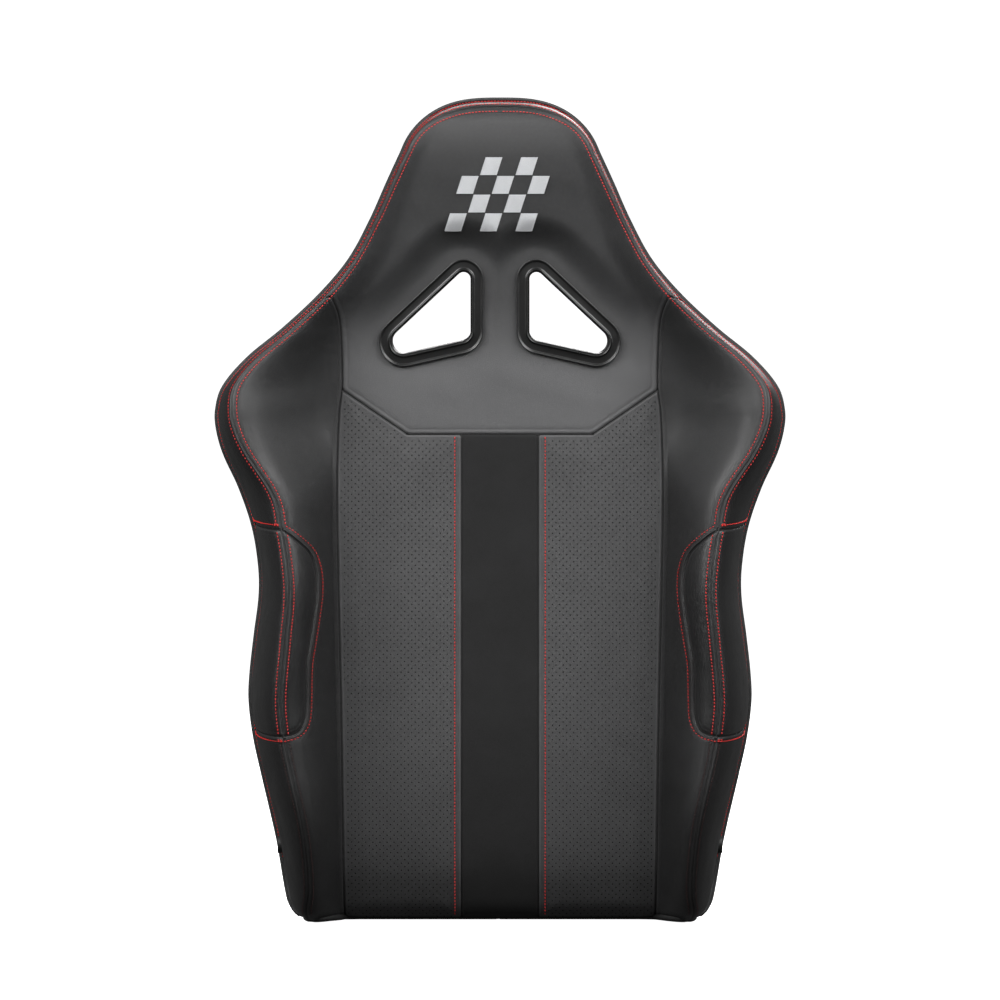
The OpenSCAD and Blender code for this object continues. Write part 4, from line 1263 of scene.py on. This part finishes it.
def make_welts():
    """Seam allowance under each seam: a dark cord that closes the gap between two panels."""
    parts = []

    def both(points):
        parts.extend(with_mirror(*tube(points, WELT_R)))

    def on_front(path):
        uv = even_path(np.asarray(path, float), 4.0)
        both(front_surface(uv) - WELT_DEPTH * normals(front_surface, uv))

    def on_side(uv):
        both(side_surface(uv) - WELT_DEPTH * normals(side_surface, uv))

    v = np.linspace(rim_s(FOOT_Z, True), RIM_LENGTH, 260)
    ridge_uv = np.stack([np.zeros(260), v], 1)
    ridge = side_surface(ridge_uv)
    inner = np.stack([np.abs(ridge[:, 0]) - 0.6, ridge[:, 2]], 1)
    n = normals(side_surface, ridge_uv + [0.6, 0]) + normals(front_surface, inner)
    n[:, 0] = np.where(v > RIM_LENGTH - 2, 0, n[:, 0])
    n = unit(n)
    both(ridge - WELT_DEPTH * n)
    on_side(np.stack([side_width(v) - 0.3, v], 1))
    on_front([[0, HEAD_SEAM_Z], [DIAGONAL_X, HEAD_SEAM_Z]])
    diagonal = [[DIAGONAL_X, HEAD_SEAM_Z], DIAGONAL_TOP]
    on_front(diagonal)
    on_front(insert_path(2, DIAGONAL_TOP[1], 8))
    on_front(WING_PATH)
    on_front([[STRIPE_HALF, 2], [STRIPE_HALF, HEAD_SEAM_Z]])
    on_front(PATCH_PATH)
    for s in (rim_s(PATCH_LOW_Z, True), rim_s(PATCH_TOP_Z, True), rim_s(BOXING_BREAK_Z, True)):
        on_side(np.stack([np.linspace(0.5, float(side_width(s)) - 0.5, 30), np.full(30, s)], 1))
    make_many("seam_welts", parts, "seam_black")
    # Pale cords just under the folded edges, a painted highlight along the ridge, the patches and the slanted
    # head seam
    parts.clear()
    fold, depth = 0.75, 1.9
    for points in (ridge - depth * n, folded(PATCH_PATH, depth - 0.9, -1.4),
                   folded(diagonal, depth - 0.4, -1.2)):
        parts.extend(with_mirror(*tube(points, fold)))
    make_many("painted_highlight_edges", parts, "edge_grey")


def folded(path, depth, beside):
    """Line beside a seam of the front, a little under the surface."""
    uv = shifted(even_path(np.asarray(path, float), 2.5), beside)
    return front_surface(uv) - depth * normals(front_surface, uv)


# ---------------------------------------------------------------- bezels
def slot_ring(grow, steps=12, between=10):
    """The slot outline with the same number of points for any growth."""
    p = slot_loop(grow, steps)
    out = []
    for i in range(3):
        arc = p[i * (steps + 1):(i + 1) * (steps + 1)]
        after = p[((i + 1) * (steps + 1)) % len(p)]
        out.extend(arc)
        out.extend(arc[-1] + (after - arc[-1]) * k / between for k in range(1, between))
    return np.array(out)


def swept_ring(profile):
    """Closed ring swept round the slot from a profile of (growth, y) points."""
    loops = [slot_ring(g) for g, _ in profile]
    n, m = len(loops[0]), len(profile)
    verts = np.array([[p[0], y, p[1]] for loop, (_, y) in zip(loops, profile) for p in loop])
    faces = []
    for i in range(m):
        j = (i + 1) % m
        for k in range(n):
            q = (k + 1) % n
            faces.append((i * n + k, i * n + q, j * n + q, j * n + k))
    return verts, faces


def rounded(points, radius=0.6, steps=3):
    """Profile with its corners rounded."""
    out = []
    n = len(points)
    for i in range(n):
        a, b, c = (np.array(points[(i + k) % n], float) for k in (-1, 0, 1))
        r = min(radius, 0.45 * np.linalg.norm(a - b), 0.45 * np.linalg.norm(c - b))
        p, q = b + (a - b) / np.linalg.norm(a - b) * r, b + (c - b) / np.linalg.norm(c - b) * r
        for k in range(steps + 1):
            s = k / steps
            out.append((1 - s) ** 2 * p + 2 * s * (1 - s) * b + s * s * q)
    return [tuple(p) for p in out]


def make_bezels():
    """Two moulded rings for each slot, whose sleeves meet inside it."""
    f, r = SLOT_FRONT_Y, SLOT_REAR_Y
    front = rounded([(0, f + 40), (0, f - 2.2), (2.6, f - 5.0), (3.9, f - 2.4), (10.4, f - 1.9),
                     (11.3, f - 3.2), (13, f - 3.6), (13, f + 0.6), (3, f + 0.6), (3, f + 39.9)], 1.0, 5)
    rear = rounded([(0, r - 39.9), (3, r - 39.9), (3, r), (13, r + 0.1), (13, r + 2.0), (11.6, r + 3.0),
                    (1.2, r + 3.0), (0, r + 1.8)], 0.5)
    for place, profile, sharp in (("front", front, 60), ("rear", rear, 50)):
        v, q = swept_ring(profile)
        make_pair(place + "_bezel_ring", v, q, None, "bezel_plastic", place + "_bezel", sharp)


# ---------------------------------------------------------------- emblem
EMBLEM_Z = 741
CHECK_W = 18
CHECK_COLS, CHECK_ROWS = 5, 4
CHECK_LEAN = 0.32


THREADS = 26
THREAD_POINTS = 9
THREAD_SIDES = 5


def satin_bank(x0, z0, height):
    """The parallel threads that fill one check, whose lower left corner is at (x0, z0)."""
    turns = np.arange(THREAD_SIDES) * 2 * math.pi / THREAD_SIDES
    radius = 0.575 * (height - 1) / THREADS
    section = radius * np.stack([0 * turns, -0.8 * np.sin(turns), np.cos(turns)], 1)
    bow = 0.15 + 0.75 * np.sin(np.linspace(0.12, math.pi - 0.12, THREAD_POINTS)) ** 0.5
    faces = section_faces(THREAD_POINTS, THREAD_SIDES)
    parts = []
    for t in range(THREADS):
        z = z0 + 0.5 + (height - 1) * (t + 0.5) / THREADS
        x = np.linspace(x0 + 0.5, x0 + CHECK_W - 0.5, THREAD_POINTS) + CHECK_LEAN * z
        path = np.stack([x, np.full(THREAD_POINTS, EMBLEM_Z + z)], 1)
        centre = front_surface(path) + normals(front_surface, path) * bow[:, None]
        parts.append(((centre[:, None] + section).reshape(-1, 3), faces))
    return parts


def make_emblem():
    """Chequer block in satin stitch, on every other check."""
    height = CHECK_W * 1.05
    parts = []
    for i in range(CHECK_COLS):
        for k in range(i % 2, CHECK_ROWS, 2):
            parts += satin_bank((i - CHECK_COLS / 2) * CHECK_W, (k - CHECK_ROWS / 2) * height, height)
    make_many("chequer_embroidery", parts, "silver", ["emblem"])


# ---------------------------------------------------------------- bottom
def make_bottom():
    """Lining cloth under the foot, inside the line where the sides turn under."""
    z = FOOT_Z
    a, b = float(crease_col(z)), float(ridge_col(z))
    x = np.concatenate([np.linspace(0, a, 12), np.linspace(a, b, 8)[1:]])
    front = np.stack([x, front_depth(x, np.full(len(x), z))], 1)
    q = np.linspace(0, math.pi / 2, 10)
    w = float(half_width(z))
    ys, yr = float(curve(REAR_SEAM, z)), float(curve(RIDGE_FRONT, z))
    side = np.stack([b + (w - SEAM_DIP - b) * np.sin(q), yr + (ys - yr) * (1 - np.cos(q))], 1)
    roll = roll_surface(np.stack([np.linspace(0, 1, 12), np.full(12, rim_s(z))], 1))[:, :2]
    right = join_paths(front, side, roll, [[0, roll[-1, 1]]])
    loop = ready(right, right[::-1] * [-1, 1], step=4)
    uv, tri = triangulate([loop], clear_grid([loop], 9, 4))
    gap = gap_to(uv, loop)
    low = np.stack([uv[:, 0], uv[:, 1], 0.2 + 1.2 * ease(1 - gap / 5)], 1)
    high = low + [0, 0, 1.6]
    tri = turned(low, tri, np.tile([0, 0, -1.0], (len(uv), 1)))
    n = len(uv)
    faces = [tuple(t) for t in tri] + [tuple(t[::-1] + n) for t in tri]
    faces += [(e, d, d + n, e + n) for d, e in rim_edges(tri)]
    piece = make_mesh("foot_lining", np.vstack([low, high]), faces, np.concatenate([gap, gap]))
    dress(piece, "bottom_cloth", ["bottom_panel"])
    # Cord inside the turned edge, which closes the corner between the lining and the covers
    inner = loop * (1 - 4.5 / np.abs(loop).max(0))
    line = np.column_stack([inner[:, 0], inner[:, 1] + 0.2, np.full(len(inner), 4.4)])
    make_many("foot_cord", [tube(line, 3.6)], "seam_black")


# ---------------------------------------------------------------- foam
def make_foam(node, name, back_off=7.0):
    """The moulded foam, its outer skin drawn back a little so that the cover's seams sink into it."""
    mesh = frame["nodes"][node].data.copy()
    mesh.name = name
    x, y, z = corners(mesh).T.astype(float) / MM
    ax = np.abs(x)
    zc = np.clip(z, 0, TOP_Z - 0.5)
    ridge, w = ridge_half(zc), half_width(zc)
    yr, ys = curve(RIDGE_FRONT, zc), curve(REAR_SEAM, zc)
    q = np.arccos(np.clip(1 - (y - yr) / (ys - yr), 0, 1))
    side_x = np.where(y < ys, ridge + (w - SEAM_DIP - ridge) * np.sin(q), w - 12)
    at_side = (ax > side_x - 9) & (ax > ridge - 3)
    at_front = (y - front_depth(ax, zc) < 6) & ~(ax > ridge + 3)
    at_back = curve(REAR_FACE, zc) - y < 5
    ax = np.where(at_side, np.minimum(ax, side_x) - back_off, ax)
    y = np.where(at_front, y + back_off, np.where(at_back, y - back_off, y))
    z = z - 10 * ease((z - 740) / 90) + 4 * (z < 8)
    out = np.stack([np.copysign(ax, x), y, z], 1) * MM
    mesh.vertices.foreach_set("co", out.astype(np.float32).ravel())
    piece = dress(add_object(name, mesh), "foam", [node])


make_front()
make_inserts()
make_sides()
back_sheet("back_cover", ZIP_Z + 0.4, TOP_Z, ["back_panel"])
back_sheet("lower_back_cover", 0.6, ZIP_Z - 0.4, ["lower_back_panel"])
make_bottom()
make_welts()
make_stitches()
make_bezels()
make_emblem()
make_foam("front_foam", "front_pad")
make_foam("rear_foam", "rear_pad")

for name, node in frame["nodes"].items():
    slot_name = next(s["material_slot"] for s in frame["record"]["subparts"] if s["node"] == name)
    if slot_name in MAT:
        node.data.materials.clear()
        node.data.materials.append(MAT[slot_name])
